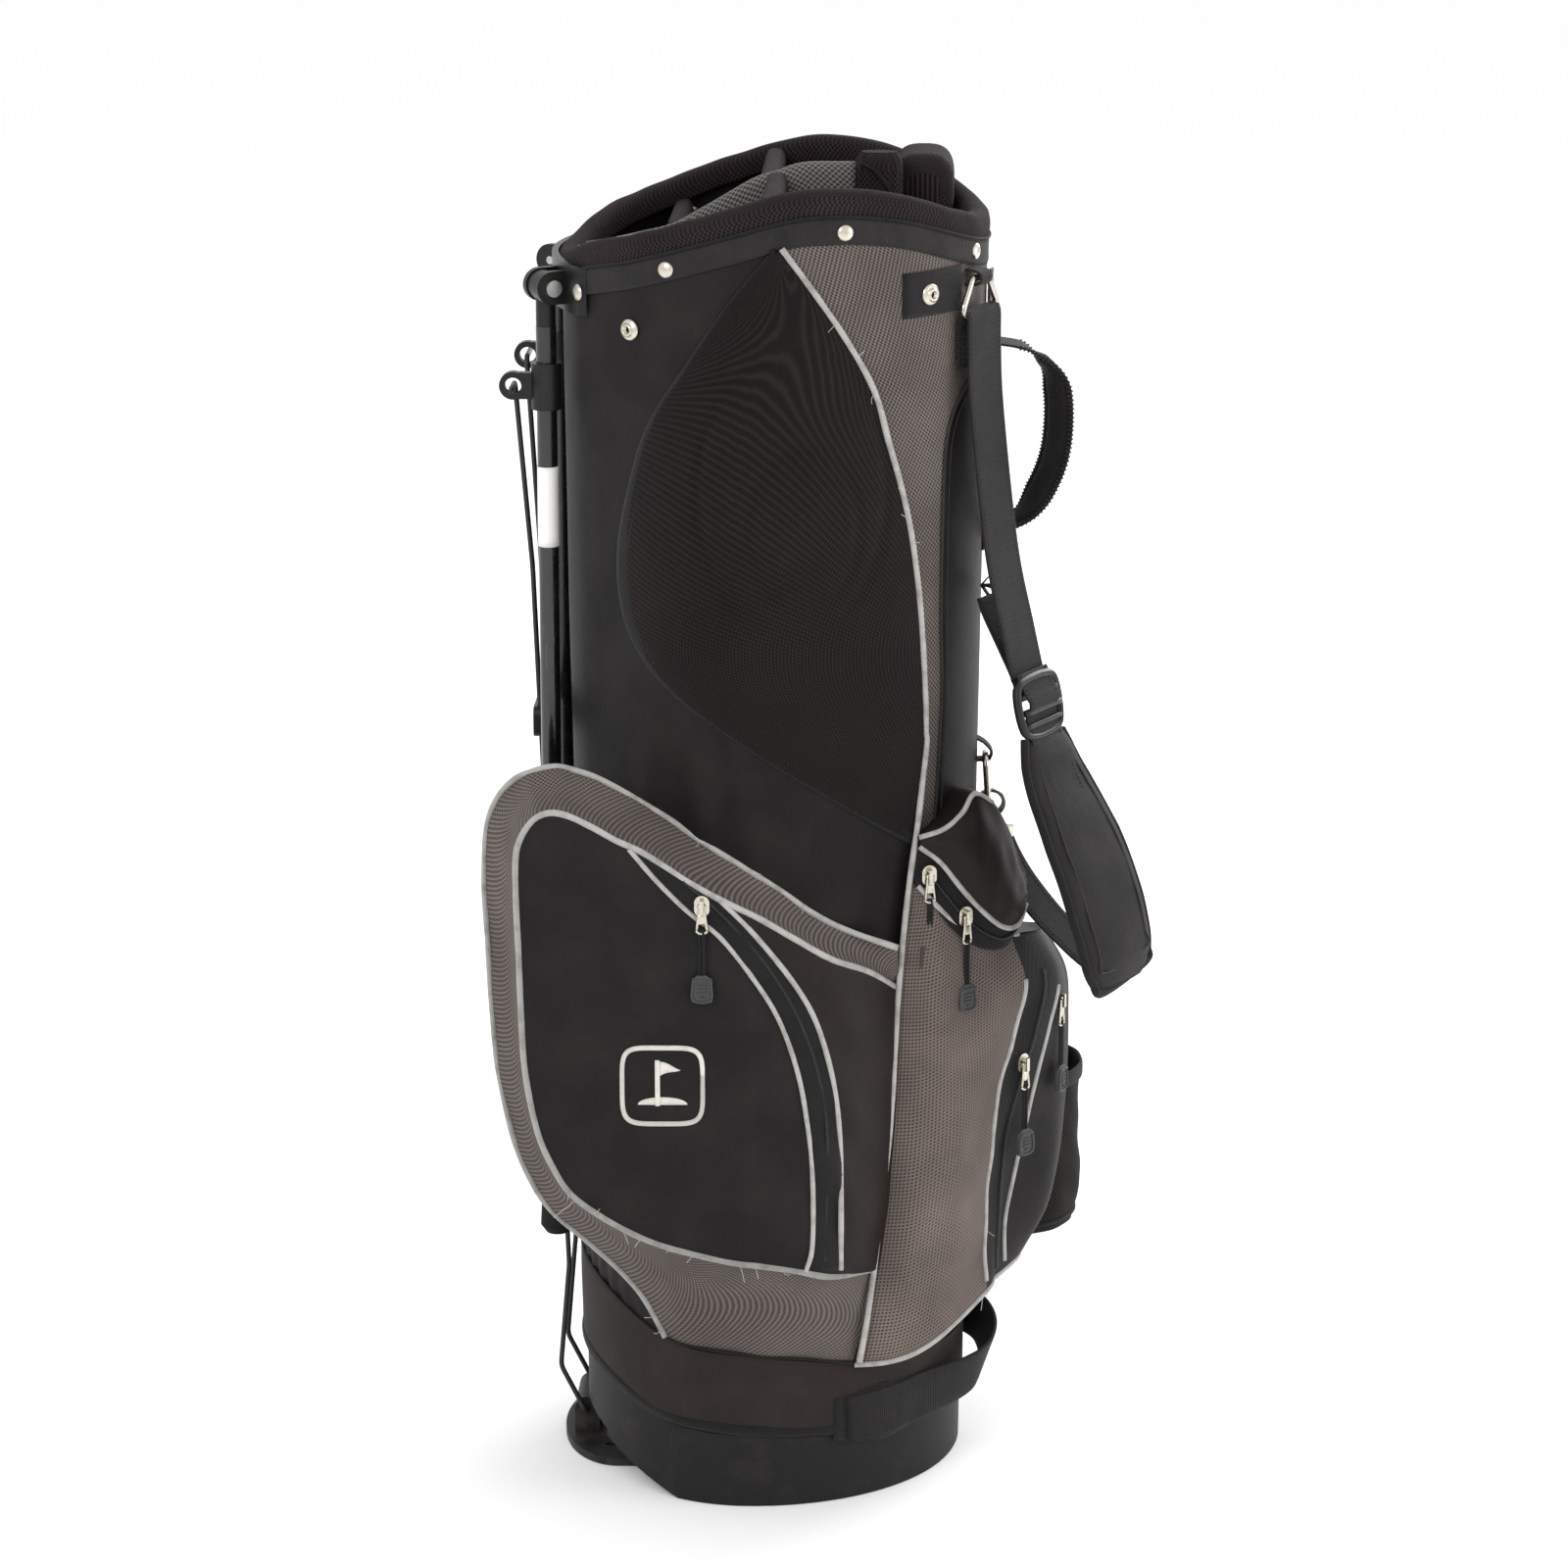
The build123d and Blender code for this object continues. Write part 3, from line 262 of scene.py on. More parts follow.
class Maker:
    """Collects surfaces in millimetres and makes one piece of them."""

    def __init__(self):
        self.points, self.faces, self.uvs, self.kinds = [], [], [], []

    def grid(self, grid, kind=0, flip=False, uv=None):
        grid = np.asarray(grid, float)
        rows, columns = grid.shape[:2]
        if uv is None:
            uv = np.zeros((rows, columns, 2))
            uv[:, 1:, 0] = np.cumsum(np.linalg.norm(np.diff(grid, axis=1), axis=2), axis=1)
            uv[1:, :, 1] = np.cumsum(np.linalg.norm(np.diff(grid, axis=0), axis=2), axis=0)
        uv = np.asarray(uv, float).reshape(-1, 2)
        first = len(self.points)
        self.points.extend(grid.reshape(-1, 3))
        kinds = np.broadcast_to(kind, (rows - 1, columns - 1))
        for row in range(rows - 1):
            for column in range(columns - 1):
                a = row * columns + column
                face = (a, a + 1, a + columns + 1, a + columns)
                face = face[::-1] if flip else face
                self.faces.append([first + i for i in face])
                self.uvs.extend(uv[i] for i in face)
                self.kinds.append(int(kinds[row, column]))
        return self

    def cap(self, ring, flip=False):
        ring = np.asarray(ring, float)[::-1 if flip else 1]
        first = len(self.points)
        self.points.extend(ring)
        self.faces.append(list(range(first, first + len(ring))))
        self.uvs.extend(ring[:, :2])
        self.kinds.append(0)
        return self

    def bar(self, path, section, side=None, wide=1.0, thick=1.0):
        """A closed swept bar with flat ends."""
        grid = sweep(path, section, side, wide, thick)
        return self.grid(grid).cap(grid[0][:-1], flip=True).cap(grid[-1][:-1])

    def tube(self, path, radius, sides=8):
        turn = np.linspace(0, 2 * pi, sides, endpoint=False)
        return self.bar(path, np.column_stack([np.cos(turn), np.sin(turn)]), wide=radius, thick=radius)

    def turned(self, profile, place, facing, kind=0):
        """A turned shape: (radius, height) pairs about an axis through place."""
        facing = np.asarray(facing, float) / np.linalg.norm(facing)
        x = np.cross(facing, (0, 0, 1) if abs(facing[2]) < 0.9 else (1, 0, 0))
        x /= np.linalg.norm(x)
        y = np.cross(facing, x)
        turn = np.linspace(0, 2 * pi, 29)
        rows = [[np.asarray(place, float) + r * (cos(t) * x + sin(t) * y) + h * facing for t in turn]
                for r, h in profile]
        return self.grid(rows, kind)

    def piece(self, name, materials, body="bag", slot=None, replaces=(), thick=0.0, offset=-1.0):
        mesh = bpy.data.meshes.new(name)
        mesh.from_pydata([tuple(p * MM) for p in self.points], [], self.faces)
        layer = mesh.uv_layers.new(name="UVMap")
        layer.data.foreach_set("uv", np.asarray(self.uvs, np.float32).ravel())
        materials = materials if isinstance(materials, (list, tuple)) else [materials]
        for material in materials:
            mesh.materials.append(material)
        mesh.polygons.foreach_set("material_index", self.kinds)
        mesh.polygons.foreach_set("use_smooth", [True] * len(self.faces))
        work = bmesh.new()
        work.from_mesh(mesh)
        bmesh.ops.remove_doubles(work, verts=work.verts, dist=0.00002)
        bmesh.ops.dissolve_degenerate(work, edges=work.edges, dist=0.000002)
        work.to_mesh(mesh)
        work.free()
        made = bpy.data.objects.new(name, mesh)
        bpy.context.scene.collection.objects.link(made)
        if thick:
            wall = made.modifiers.new("wall", "SOLIDIFY")
            wall.thickness, wall.offset, wall.use_even_offset = thick * MM, offset, False
        if body:
            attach(made, body)
        if replaces:
            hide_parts(*replaces)
        return made


# ---- materials --------------------------------------------------------------------------
def tone(red, green, blue):
    """A linear colour from screen values of 0 to 255."""
    shares = [v / 255 for v in (red, green, blue)]
    return tuple(v / 12.92 if v < 0.0404 else ((v + 0.055) / 1.055) ** 2.4 for v in shares) + (1,)


class Paint:
    """A procedural material, written as short calls."""

    def __init__(self, name, rough, **fixed):
        self.material = bpy.data.materials.new(name)
        self.material.use_nodes = True
        self.tree = self.material.node_tree
        self.shader = self.tree.nodes["Principled BSDF"]
        self.shader.inputs["Roughness"].default_value = rough
        for key, value in fixed.items():
            self.shader.inputs[key.replace("_", " ")].default_value = value

    def feed(self, socket, value):
        if isinstance(value, bpy.types.NodeSocket):
            self.tree.links.new(value, socket)
        elif value is not None:
            socket.default_value = value

    def node(self, kind, *values, **settings):
        made = self.tree.nodes.new("ShaderNode" + kind)
        for key, value in settings.items():
            setattr(made, key, value)
        for socket, value in zip(made.inputs, values):
            self.feed(socket, value)
        return made

    def math(self, operation, *values):
        return self.node("Math", *values, operation=operation).outputs[0]

    def vector(self, operation, *values):
        made = self.node("VectorMath", *values, operation=operation)
        return made.outputs[1 if operation in ("LENGTH", "DISTANCE", "DOT_PRODUCT") else 0]

    def uv(self):
        """The cloth's own coordinates, in millimetres."""
        return self.node("TexCoord").outputs["UV"]

    def place(self):
        """Position on the piece, in millimetres."""
        return self.vector("MULTIPLY", self.node("TexCoord").outputs["Object"], (1000, 1000, 1000))

    def noise(self, where, size, detail=3.0, rough=0.55):
        made = self.node("TexNoise", where)
        made.inputs["Scale"].default_value = 1 / size
        made.inputs["Detail"].default_value = detail
        made.inputs["Roughness"].default_value = rough
        return made.outputs[0]

    def spread(self, value, low, high, first=0.0, last=1.0):
        return self.node("MapRange", value, low, high, first, last).outputs[0]

    def mix(self, share, first, last):
        made = self.node("Mix", data_type="RGBA")
        for index, value in ((0, share), (6, first), (7, last)):
            self.feed(made.inputs[index], value)
        return made.outputs[2]

    def wave(self, value, pitch):
        """A ripple from 0 to 1 with this pitch."""
        turned = self.math("SINE", self.math("MULTIPLY", value, 2 * pi / pitch))
        return self.math("MULTIPLY_ADD", turned, 0.5, 0.5)

    def lattice(self, where, pitch, row, size, shifts):
        """Rows of holes, one set of them for each shift: 1 in a hole, 0 between them."""
        scaled = self.vector("MULTIPLY", where, (1 / pitch, 1 / row, 0))
        distances = []
        for shift in shifts:
            cell = self.vector("FRACTION", self.vector("ADD", scaled, shift))
            centred = self.vector("SUBTRACT", cell, (0.5, 0.5, 0))
            distances.append(self.vector("LENGTH", self.vector("MULTIPLY", centred, (pitch, row * 0.8, 0))))
        return self.spread(self.math("MINIMUM", distances[0], distances[-1]), size, size * 0.55)

    def done(self, colour, height, depth, rough=None):
        """Feeds the shader with a colour and with bumps of a depth in millimetres."""
        self.feed(self.shader.inputs["Base Color"], colour)
        if rough is not None:
            self.feed(self.shader.inputs["Roughness"], rough)
        bump = self.node("Bump")
        bump.inputs["Strength"].default_value = 1.0
        bump.inputs["Distance"].default_value = depth * MM
        self.feed(bump.inputs["Height"], height)
        self.feed(self.shader.inputs["Normal"], bump.outputs[0])
        return self.material


def nylon(name, base, worn, rough=0.58, specular=0.14, dust=0.25):
    """Smooth plain-weave cloth with faint patches of dust."""
    p = Paint(name, rough, Specular_IOR_Level=specular, Sheen_Weight=0.02, Sheen_Roughness=0.4)
    apart = p.node("SeparateXYZ", p.uv())
    weave = p.math("MULTIPLY", p.wave(apart.outputs[0], 0.9), p.wave(apart.outputs[1], 0.9))
    patch = p.spread(p.noise(p.place(), 42.0, 4.0), 0.42, 0.72)
    speck = p.spread(p.noise(p.place(), 3.0, 3.0), 0.64, 0.74)
    share = p.math("MULTIPLY_ADD", speck, dust, p.math("MULTIPLY", patch, dust * 1.6))
    colour = p.mix(share, base, worn)
    creases = p.noise(p.place(), 14.0, 3.0)
    return p.done(colour, p.math("MULTIPLY_ADD", creases, 0.8, p.math("MULTIPLY", weave, 0.16)), 0.55)


def honeycomb(name, base, hole, pitch=3.0, row=3.3, size=0.92, worn=None, depth=0.35, staggered=True):
    """Spacer mesh: rows of holes in a soft knitted face."""
    p = Paint(name, 0.85, Specular_IOR_Level=0.08, Sheen_Weight=0.04, Sheen_Roughness=0.5)
    where = p.uv()
    holes = p.lattice(where, pitch, row, size, ((0, 0, 0), (0.5, 0.5, 0)) if staggered else ((0, 0, 0),))
    fuzz = p.noise(where, 0.5, 2.0)
    patch = p.noise(p.place(), 55.0, 3.0)
    face = p.mix(p.spread(patch, 0.35, 0.7), base, worn or base)
    face = p.mix(p.math("MULTIPLY", fuzz, 0.35), face, hole)
    colour = p.mix(p.math("MULTIPLY", holes, 0.85), face, hole)
    height = p.math("SUBTRACT", p.math("MULTIPLY", fuzz, 0.25), holes)
    return p.done(colour, height, depth)


def webbing(name, base, worn, pitch=1.7, along=1):
    """Woven tape: fine ribs across it and a softer grain along it, with painted shade in the grooves between
    the ribs.
    """
    p = Paint(name, 0.75, Specular_IOR_Level=0.2, Sheen_Weight=0.06)
    apart = p.node("SeparateXYZ", p.uv())
    ribs = p.wave(apart.outputs[along], pitch)
    grain = p.wave(apart.outputs[1 - along], pitch * 0.8)
    height = p.math("MULTIPLY_ADD", ribs, 0.7, p.math("MULTIPLY", grain, 0.3))
    share = p.math("MULTIPLY", p.spread(p.noise(p.place(), 20.0), 0.35, 0.75), 0.8)
    colour = p.mix(share, base, worn)
    # Painted shade: the colour darkens towards black where the ribs are low, in the grooves between them.
    colour = p.mix(p.math("MULTIPLY", p.math("SUBTRACT", 1.0, height), 0.5), colour,
                   (0.004, 0.004, 0.004, 1))
    return p.done(colour, height, 0.35)


def corded(name, base, dirt):
    """Covered piping: a slight twist, rubbed and soiled in places."""
    p = Paint(name, 0.8, Specular_IOR_Level=0.2, Sheen_Weight=0.1)
    apart = p.node("SeparateXYZ", p.uv())
    twist = p.wave(p.math("ADD", apart.outputs[0], apart.outputs[1]), 1.3)
    soil = p.spread(p.noise(p.place(), 9.0, 4.0), 0.45, 0.75)
    fuzz = p.noise(p.place(), 0.7, 2.0)
    colour = p.mix(p.math("MULTIPLY", soil, 0.75), base, dirt)
    colour = p.mix(p.math("MULTIPLY", fuzz, 0.3), colour, dirt)
    return p.done(colour, p.math("MULTIPLY_ADD", twist, 0.6, p.math("MULTIPLY", fuzz, 0.5)), 0.35)


def moulded(name, base, scuff, rough=0.5, grain=0.8, marks=0.5, specular=0.3):
    """Moulded plastic: a fine grain, with rubbed patches and short scratches."""
    p = Paint(name, rough, Specular_IOR_Level=specular)
    where = p.place()
    fine = p.noise(where, grain, 2.0)
    rubbed = p.spread(p.noise(where, 26.0, 5.0, 0.65), 0.5, 0.8)
    stretched = p.vector("MULTIPLY", where, (1.0, 1.0, 0.14))
    scratch = p.spread(p.noise(stretched, 3.2, 4.0, 0.7), 0.68, 0.74)
    share = p.math("MULTIPLY_ADD", scratch, marks, p.math("MULTIPLY", rubbed, marks * 0.6))
    colour = p.mix(share, base, scuff)
    roughness = p.spread(share, 0.0, 1.0, rough, min(1.0, rough + 0.25))
    return p.done(colour, p.math("MULTIPLY_ADD", scratch, -0.5, fine), 0.12, rough=roughness)


def metal(name, base, rough, tarnish):
    """Plated metal with faint tarnish."""
    p = Paint(name, rough, Metallic=1.0)
    where = p.place()
    stain = p.spread(p.noise(where, 4.0, 4.0), 0.5, 0.8)
    colour = p.mix(p.math("MULTIPLY", stain, 0.6), base, tarnish)
    roughness = p.spread(stain, 0.0, 1.0, rough, rough + 0.2)
    return p.done(colour, p.noise(where, 0.4, 2.0), 0.02, rough=roughness)


def gloss(name, base, rough):
    """Gloss paint with a faint orange peel and dull scuffs."""
    p = Paint(name, rough, Specular_IOR_Level=0.5, Coat_Weight=0.5, Coat_Roughness=0.12)
    where = p.place()
    stretched = p.vector("MULTIPLY", where, (1.0, 1.0, 0.08))
    scratch = p.spread(p.noise(stretched, 2.2, 3.0, 0.6), 0.64, 0.72)
    colour = p.mix(p.math("MULTIPLY", scratch, 0.5), base, tone(92, 90, 88))
    roughness = p.spread(p.noise(where, 16.0, 4.0), 0.35, 0.75, rough, rough + 0.25)
    return p.done(colour, p.noise(where, 1.4, 2.0), 0.03, rough=roughness)


BLACK_NYLON = nylon("black_nylon", tone(22, 20, 20), tone(44, 40, 38))
SATIN = nylon("brown_black_satin", tone(25, 19, 17), tone(44, 35, 31), rough=0.5, specular=0.16, dust=0.2)
SKIRT = nylon("faded_skirt", tone(37, 32, 30), tone(58, 50, 46), rough=0.7, dust=0.25)
GREY_MESH = honeycomb("grey_mesh", tone(112, 103, 98), tone(34, 31, 30), worn=tone(128, 119, 113))
SQUARE_MESH = honeycomb("square_mesh", tone(108, 98, 93), tone(34, 31, 30), pitch=2.25, row=2.35, size=0.74,
                        worn=tone(130, 118, 110), staggered=False)
BLACK_MESH = honeycomb("black_mesh", tone(34, 30, 29), tone(13, 11, 11), pitch=3.2, row=3.6, size=1.05,
                       worn=tone(41, 36, 34), depth=0.4)
CUFF_KNIT = honeycomb("cuff_knit", tone(46, 37, 39), tone(8, 6, 7), pitch=3.0, row=3.6, size=0.95,
                      worn=tone(57, 46, 48), depth=0.9)
DIVIDER_MESH = honeycomb("divider_mesh", tone(128, 125, 121), tone(38, 37, 36), pitch=3.3, row=3.9,
                         size=1.08, depth=0.6)
BAND_WEBBING = webbing("band_webbing", tone(30, 28, 28), tone(50, 46, 45), along=0)
STRAP_WEBBING = webbing("strap_webbing", tone(21, 20, 20), tone(38, 35, 34), pitch=1.5)
BINDING = webbing("binding_tape", tone(17, 16, 16), tone(30, 28, 27), pitch=1.2)
PIPING = corded("piping_cord", tone(180, 179, 176), tone(122, 114, 108))
PALE_TAPE = corded("pale_tape", tone(168, 163, 157), tone(96, 90, 85))
THREAD = corded("loose_thread", tone(196, 194, 190), tone(150, 144, 138))
STITCH = corded("stitching", tone(52, 49, 47), tone(26, 24, 23))
EMBROIDERY = corded("embroidery", tone(222, 219, 211), tone(190, 184, 174))
NICKEL = metal("nickel", tone(196, 190, 178), 0.2, tone(134, 124, 106))
RIVET_METAL = metal("rivet_metal", tone(206, 199, 187), 0.3, tone(158, 147, 128))
STEEL = metal("bright_steel", tone(190, 190, 190), 0.3, tone(146, 142, 136))
LEG_PAINT = gloss("leg_paint", tone(13, 12, 13), 0.18)
WIRE_PAINT = moulded("wire_coating", tone(34, 32, 32), tone(84, 76, 70), rough=0.36, marks=0.4)
BOOT = moulded("boot_plastic", tone(29, 28, 28), tone(72, 68, 66), rough=0.5, marks=0.4, specular=0.14)
PLATE = moulded("plate_plastic", tone(29, 28, 28), tone(98, 91, 86), rough=0.5, marks=0.7, specular=0.2)
BRACKET = moulded("bracket_plastic", tone(20, 20, 21), tone(54, 52, 50), rough=0.34, marks=0.35)
BUCKLE = moulded("buckle_plastic", tone(24, 24, 24), tone(60, 58, 56), rough=0.38, marks=0.3)
RUBBER = moulded("grey_rubber", tone(60, 60, 61), tone(96, 95, 94), rough=0.55, grain=0.5, marks=0.4)
FOOT_RUBBER = moulded("foot_rubber", tone(22, 21, 21), tone(66, 62, 58), rough=0.75, marks=0.5,
                      specular=0.15)
FIBRE = moulded("stay_fibre", tone(120, 112, 92), tone(150, 142, 120), rough=0.45)
COLLAR = moulded("collar_plastic", tone(24, 22, 22), tone(46, 43, 41), rough=0.5, marks=0.3, specular=0.15)
CORD = webbing("pull_cord", tone(20, 20, 20), tone(36, 36, 36), pitch=1.0)
LABEL = moulded("paper_label", tone(232, 230, 227), tone(196, 192, 186), rough=0.6, marks=0.25)

set_the_stage()

for node, material in {
    "base_boot": BOOT, "base_hinge_pin": STEEL, "foot_plate": PLATE, "actuator_wire": WIRE_PAINT,
    "wire_clip": BRACKET, "leg_bracket": BRACKET, "top_collar": COLLAR, "stay_rods": FIBRE,
    "d_ring": NICKEL, "snap_hook": NICKEL, "oval_ring": NICKEL,
    **{f"leg_tube_{side}": LEG_PAINT for side in ("near", "far")},
    **{f"leg_head_{side}": BRACKET for side in ("near", "far")},
    **{f"leg_lug_{side}": BRACKET for side in ("near", "far")},
    **{f"leg_foot_{side}": FOOT_RUBBER for side in ("near", "far")},
    **{f"pivot_screw_{side}": STEEL for side in ("near", "far")},
    **{f"zip_slider_{which}": NICKEL for which in ("side", "ball_front", "ball_top", "valuables", "spare")},
}.items():
    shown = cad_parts[node]
    if not shown.material_slots:
        shown.data.materials.append(material)
    for holder in shown.material_slots:
        holder.material = material


# ---- barrel -----------------------------------------------------------------------------
def hoop_rows(low_edge, high_edge, low_rise, high_rise, rows, grow, step=2.0):
    """A grid all round the barrel between two sloping edges."""
    turn = np.arange(0, 360 + step, step)
    low = round_height(low_edge, turn) + low_rise
    high = round_height(high_edge, turn) + high_rise
    share = np.linspace(0, 1, rows)[:, None]
    return barrel(turn[None, :], low + (high - low) * share, grow)


def bell(value, centre, half):
    """A soft bump that is 1 at the centre and 0 beyond half."""
    return np.clip(1 - ((value - centre) / half) ** 2, 0, 1) ** 2


shell = hoop_rows(boot_height, rim_height, 1.0, -CUFF_HEIGHT, 150, 0.0, step=1.5)
x, y, z = shell[..., 0], shell[..., 1], shell[..., 2]
bend = np.degrees(np.arctan2(y, x))
folds = 2.4 * bell(z, 432, 95) * bell(bend, -104, 42) * (0.5 + 0.5 * np.sin(x / 4.6 + z / 60))
folds += 1.6 * bell(z, 128, 40) * bell(bend, -150, 40) * (0.5 + 0.5 * np.sin(bend * 0.9))
folds += 0.5 * crumple(bend * 2, z, 4, 120)
Maker().grid(lifted(shell, folds)).piece("barrel_fabric", BLACK_NYLON, slot="barrel_fabric",
                                         replaces=["body_shell"], thick=2.6, offset=-1)

lower_band = hoop_rows(boot_height, skirt_height, 1.5, 0.0, 14, 0.3)
lower_band = lifted(lower_band, 1.3 + 0.5 * crumple(lower_band[..., 0], lower_band[..., 2], 9, 70))
skirt = Maker().grid(lower_band)
skirt.piece("skirt_band_fabric", SKIRT, slot="skirt_fabric", replaces=["skirt_band"], thick=1.2)
for name, edge, rise, tall, grow, material in (("skirt_binding", boot_height, 1.0, 7.0, 1.5, BINDING),
                                               ("skirt_hem", skirt_height, -2.6, 2.6, 1.2, SKIRT)):
    tape = hoop_rows(edge, edge, rise, rise + tall, 5, 0.0)
    tape = barrel(np.arange(0, 362, 2.0)[None, :], tape[..., 2],
                  grow + np.array([0.1, 0.7, 0.9, 0.7, 0.1])[:, None])
    Maker().grid(tape).piece(name, material, slot="skirt_fabric", thick=0.8)

band = hoop_rows(rim_height, rim_height, -CUFF_HEIGHT - BAND_HEIGHT, -CUFF_HEIGHT, 9, 0.0)
band = barrel(np.arange(0, 362, 2.0)[None, :], band[..., 2],
              np.array([1.2, 1.7, 1.7, 1.6, 1.6, 1.6, 1.7, 1.7, 1.3])[:, None])
Maker().grid(band).piece("rim_webbing", BAND_WEBBING, slot="rim_webbing", replaces=["rim_band"], thick=1.3)

# The padded cuff rolls over the rim: its section goes up the outside, over and down the inside.
CUFF_SECTION = [(1.4, -15.0), (2.0, -11.0), (2.2, -6.5), (1.2, -2.0), (-1.8, 0.2), (-6.0, 0.9),
                (-10.0, 0.0), (-12.4, -2.8), (-13.1, -7.0), (-12.8, -11.5), (-11.6, -15.0),
                (-5.5, -15.6)]
turn = np.arange(0, 361.5, 1.5)
roll = even(CUFF_SECTION + CUFF_SECTION[:1], 40)
rim = round_height(rim_height, turn)
cuff = barrel(turn[None, :], rim[None, :] + roll[:, 1:], roll[:, :1])
cuff = lifted(cuff, -0.35 * crumple(turn[None, :] * 3, roll[:, 1:] * 2, 3, 34))
cuff_roll = Maker().grid(cuff, flip=True).piece("rim_cuff_knit", CUFF_KNIT, slot="cuff_knit",
                                                replaces=["rim_cuff"])
seam = barrel(turn, rim - CUFF_HEIGHT + 0.3, 2.0)
Maker().tube(seam, 1.0, 6).piece("cuff_seam", BINDING, slot="cuff_knit")
worn_edge = np.arange(-178, -121, 2.0)
lining = barrel(worn_edge[:, None], round_height(rim_height, worn_edge)[:, None]
                + np.array([0.4, -0.6, -3.2]), np.array([-9.6, -12.4, -13.4]))
Maker().grid(lining).piece("worn_lining_edge", PALE_TAPE, slot="cuff_knit", thick=0.6)


# ---- club dividers ----------------------------------------------------------------------
BAR_WIDE, BAR_TALL = 13.0, 27.0


def padded_bar(name, start, end, material, replaces=()):
    """A padded divider bar with a rounded top that follows the divider line."""
    steps = np.linspace(0, 1, 40)[:, None]
    line = np.asarray(start, float) + (np.asarray(end, float) - np.asarray(start, float)) * steps
    tops = divider_height(line[:, 0])
    path = np.column_stack([line, tops - BAR_TALL / 2])
    section = oval(BAR_WIDE, BAR_TALL, 3.2, 20)
    side = np.cross((0, 0, 1), path[-1] - path[0])
    grid = sweep(path, section, side)
    grid = lifted(grid, 0.5 * crumple(grid[..., 0] + grid[..., 1], grid[..., 2], 12, 26))
    maker = Maker().grid(grid)
    maker.cap(grid[0][:-1], flip=True).cap(grid[-1][:-1])
    maker.piece(name, material, slot="divider_mesh", replaces=replaces)


padded_bar("divider_bar_long", (-98, 0), (62, 0), DIVIDER_MESH, replaces=["divider_bars"])
padded_bar("divider_bar_near", (15, -5), (15, -109), CUFF_KNIT)
padded_bar("divider_bar_far_middle", (10, 5), (10, 109), CUFF_KNIT)
padded_bar("divider_bar_far_leg", (-47, 5), (-47, 99), CUFF_KNIT)

SHEET_LOW = 67.0
DIVIDERS = [("divider_sheet_long", (-97, 0), (61, 0)), ("divider_sheet_near", (15, -3), (15, -112)),
            ("divider_sheet_far_middle", (10, 3), (10, 112)), ("divider_sheet_far_leg", (-47, 3), (-47, 98))]
for name, start, end in DIVIDERS:
    start, end = np.asarray(start, float), np.asarray(end, float)
    share = np.linspace(0, 1, 24)[None, :, None]
    drop = np.linspace(0, 1, 60)[:, None, None]
    line = start + (end - start) * share + 0 * drop
    top = divider_height(line[..., 0]) - 20
    hang = np.dstack([line, top + (SHEET_LOW - top) * drop[..., 0]])
    hang = lifted(hang, 1.0 * crumple(share[..., 0] * 100, hang[..., 2], 7, 160))
    cloth = Maker().grid(hang).piece(name, BLACK_NYLON, slot="divider_lining", thick=0.8, offset=0,
                                     replaces=["divider_sheets"] if name == "divider_sheet_long" else ())
    tall = float(np.mean(top) - SHEET_LOW) * MM

# The tall sleeve at the strap end of the divider, ribbed, with a curved seam.
low, high = box_of("divider_sleeve")
middle = (low + high) / 2
sleeve_path = np.column_stack([np.full(30, middle[0]), np.full(30, middle[1]),
                               np.linspace(low[2], high[2], 30)])
rounding = np.clip((np.linspace(0, 1, 30) - 0.8) / 0.21, 0, 1)
shrink = np.sqrt(1 - rounding ** 2)
sleeve = sweep(sleeve_path, oval(high[0] - low[0], high[1] - low[1], 3.0, 48), (1, 0, 0),
               wide=0.6 + 0.4 * shrink, thick=0.35 + 0.65 * shrink)
ribs = np.sin(np.arange(49) * 2 * pi / 4)[None, :] * 0.5
maker = Maker().grid(lifted(sleeve, ribs))
maker.cap(sleeve[-1][:-1]).cap(sleeve[0][:-1], flip=True)
sleeve = maker.piece("divider_sleeve_knit", CUFF_KNIT, slot="sleeve_knit", replaces=["divider_sleeve"])
sleeve_seam = [(low[0] + 3, low[1] - 0.6, high[2] - 5), (middle[0], low[1] - 0.9, high[2] - 12),
               (high[0] - 5, low[1] - 0.7, high[2] - 28), (high[0] - 3, low[1] - 0.4, low[2] + 8)]
Maker().tube(measured(sleeve_seam, 2.0), 0.9, 6).piece("sleeve_seam", BINDING, slot="sleeve_knit")

low, high = box_of("rim_grip")
grip_path = np.column_stack([np.full(36, (low[0] + high[0]) / 2), np.linspace(low[1], high[1], 36),
                             np.full(36, (low[2] + high[2]) / 2)])
ends = np.clip(np.minimum(np.linspace(0, 1, 36), np.linspace(1, 0, 36)) / 0.16, 0, 1)
ends = np.sqrt(1 - (1 - ends) ** 2)
grip = sweep(grip_path, oval(high[0] - low[0], high[2] - low[2], 3.0, 40), (1, 0, 0),
             wide=0.55 + 0.45 * ends, thick=0.5 + 0.5 * ends)
maker = Maker().grid(grip)
maker.cap(grip[0][:-1], flip=True).cap(grip[-1][:-1])
grip = maker.piece("rim_grip_knit", CUFF_KNIT, slot="sleeve_knit", replaces=["rim_grip"])


# ---- panels on the barrel ---------------------------------------------------------------
LONG_PIPING = [(22, 785), (41, 758), (60, 728), (75, 698), (83, 668), (91, 637), (97, 606), (102, 563),
               (105, 514), (106, 477), (105, 435), (102, 411), (97, 385), (95, 367), (91, 322),
               (88, 253), (84, 207), (78, 149), (68, 92)]
HIP_LEFT = [(15, 781), (-8, 753), (-34, 714), (-55, 680), (-67, 643), (-75, 600), (-73, 564), (-62, 538),
            (-41, 516), (-11, 495), (24, 471), (58, 448), (98, 418)]
SPINE_EDGE = [(395, -37), (431, -35), (505, -33), (561, -34), (635, -34), (662, -33), (678, -30),
              (689, -25), (699, -17), (704, -8), (705.5, 0)]


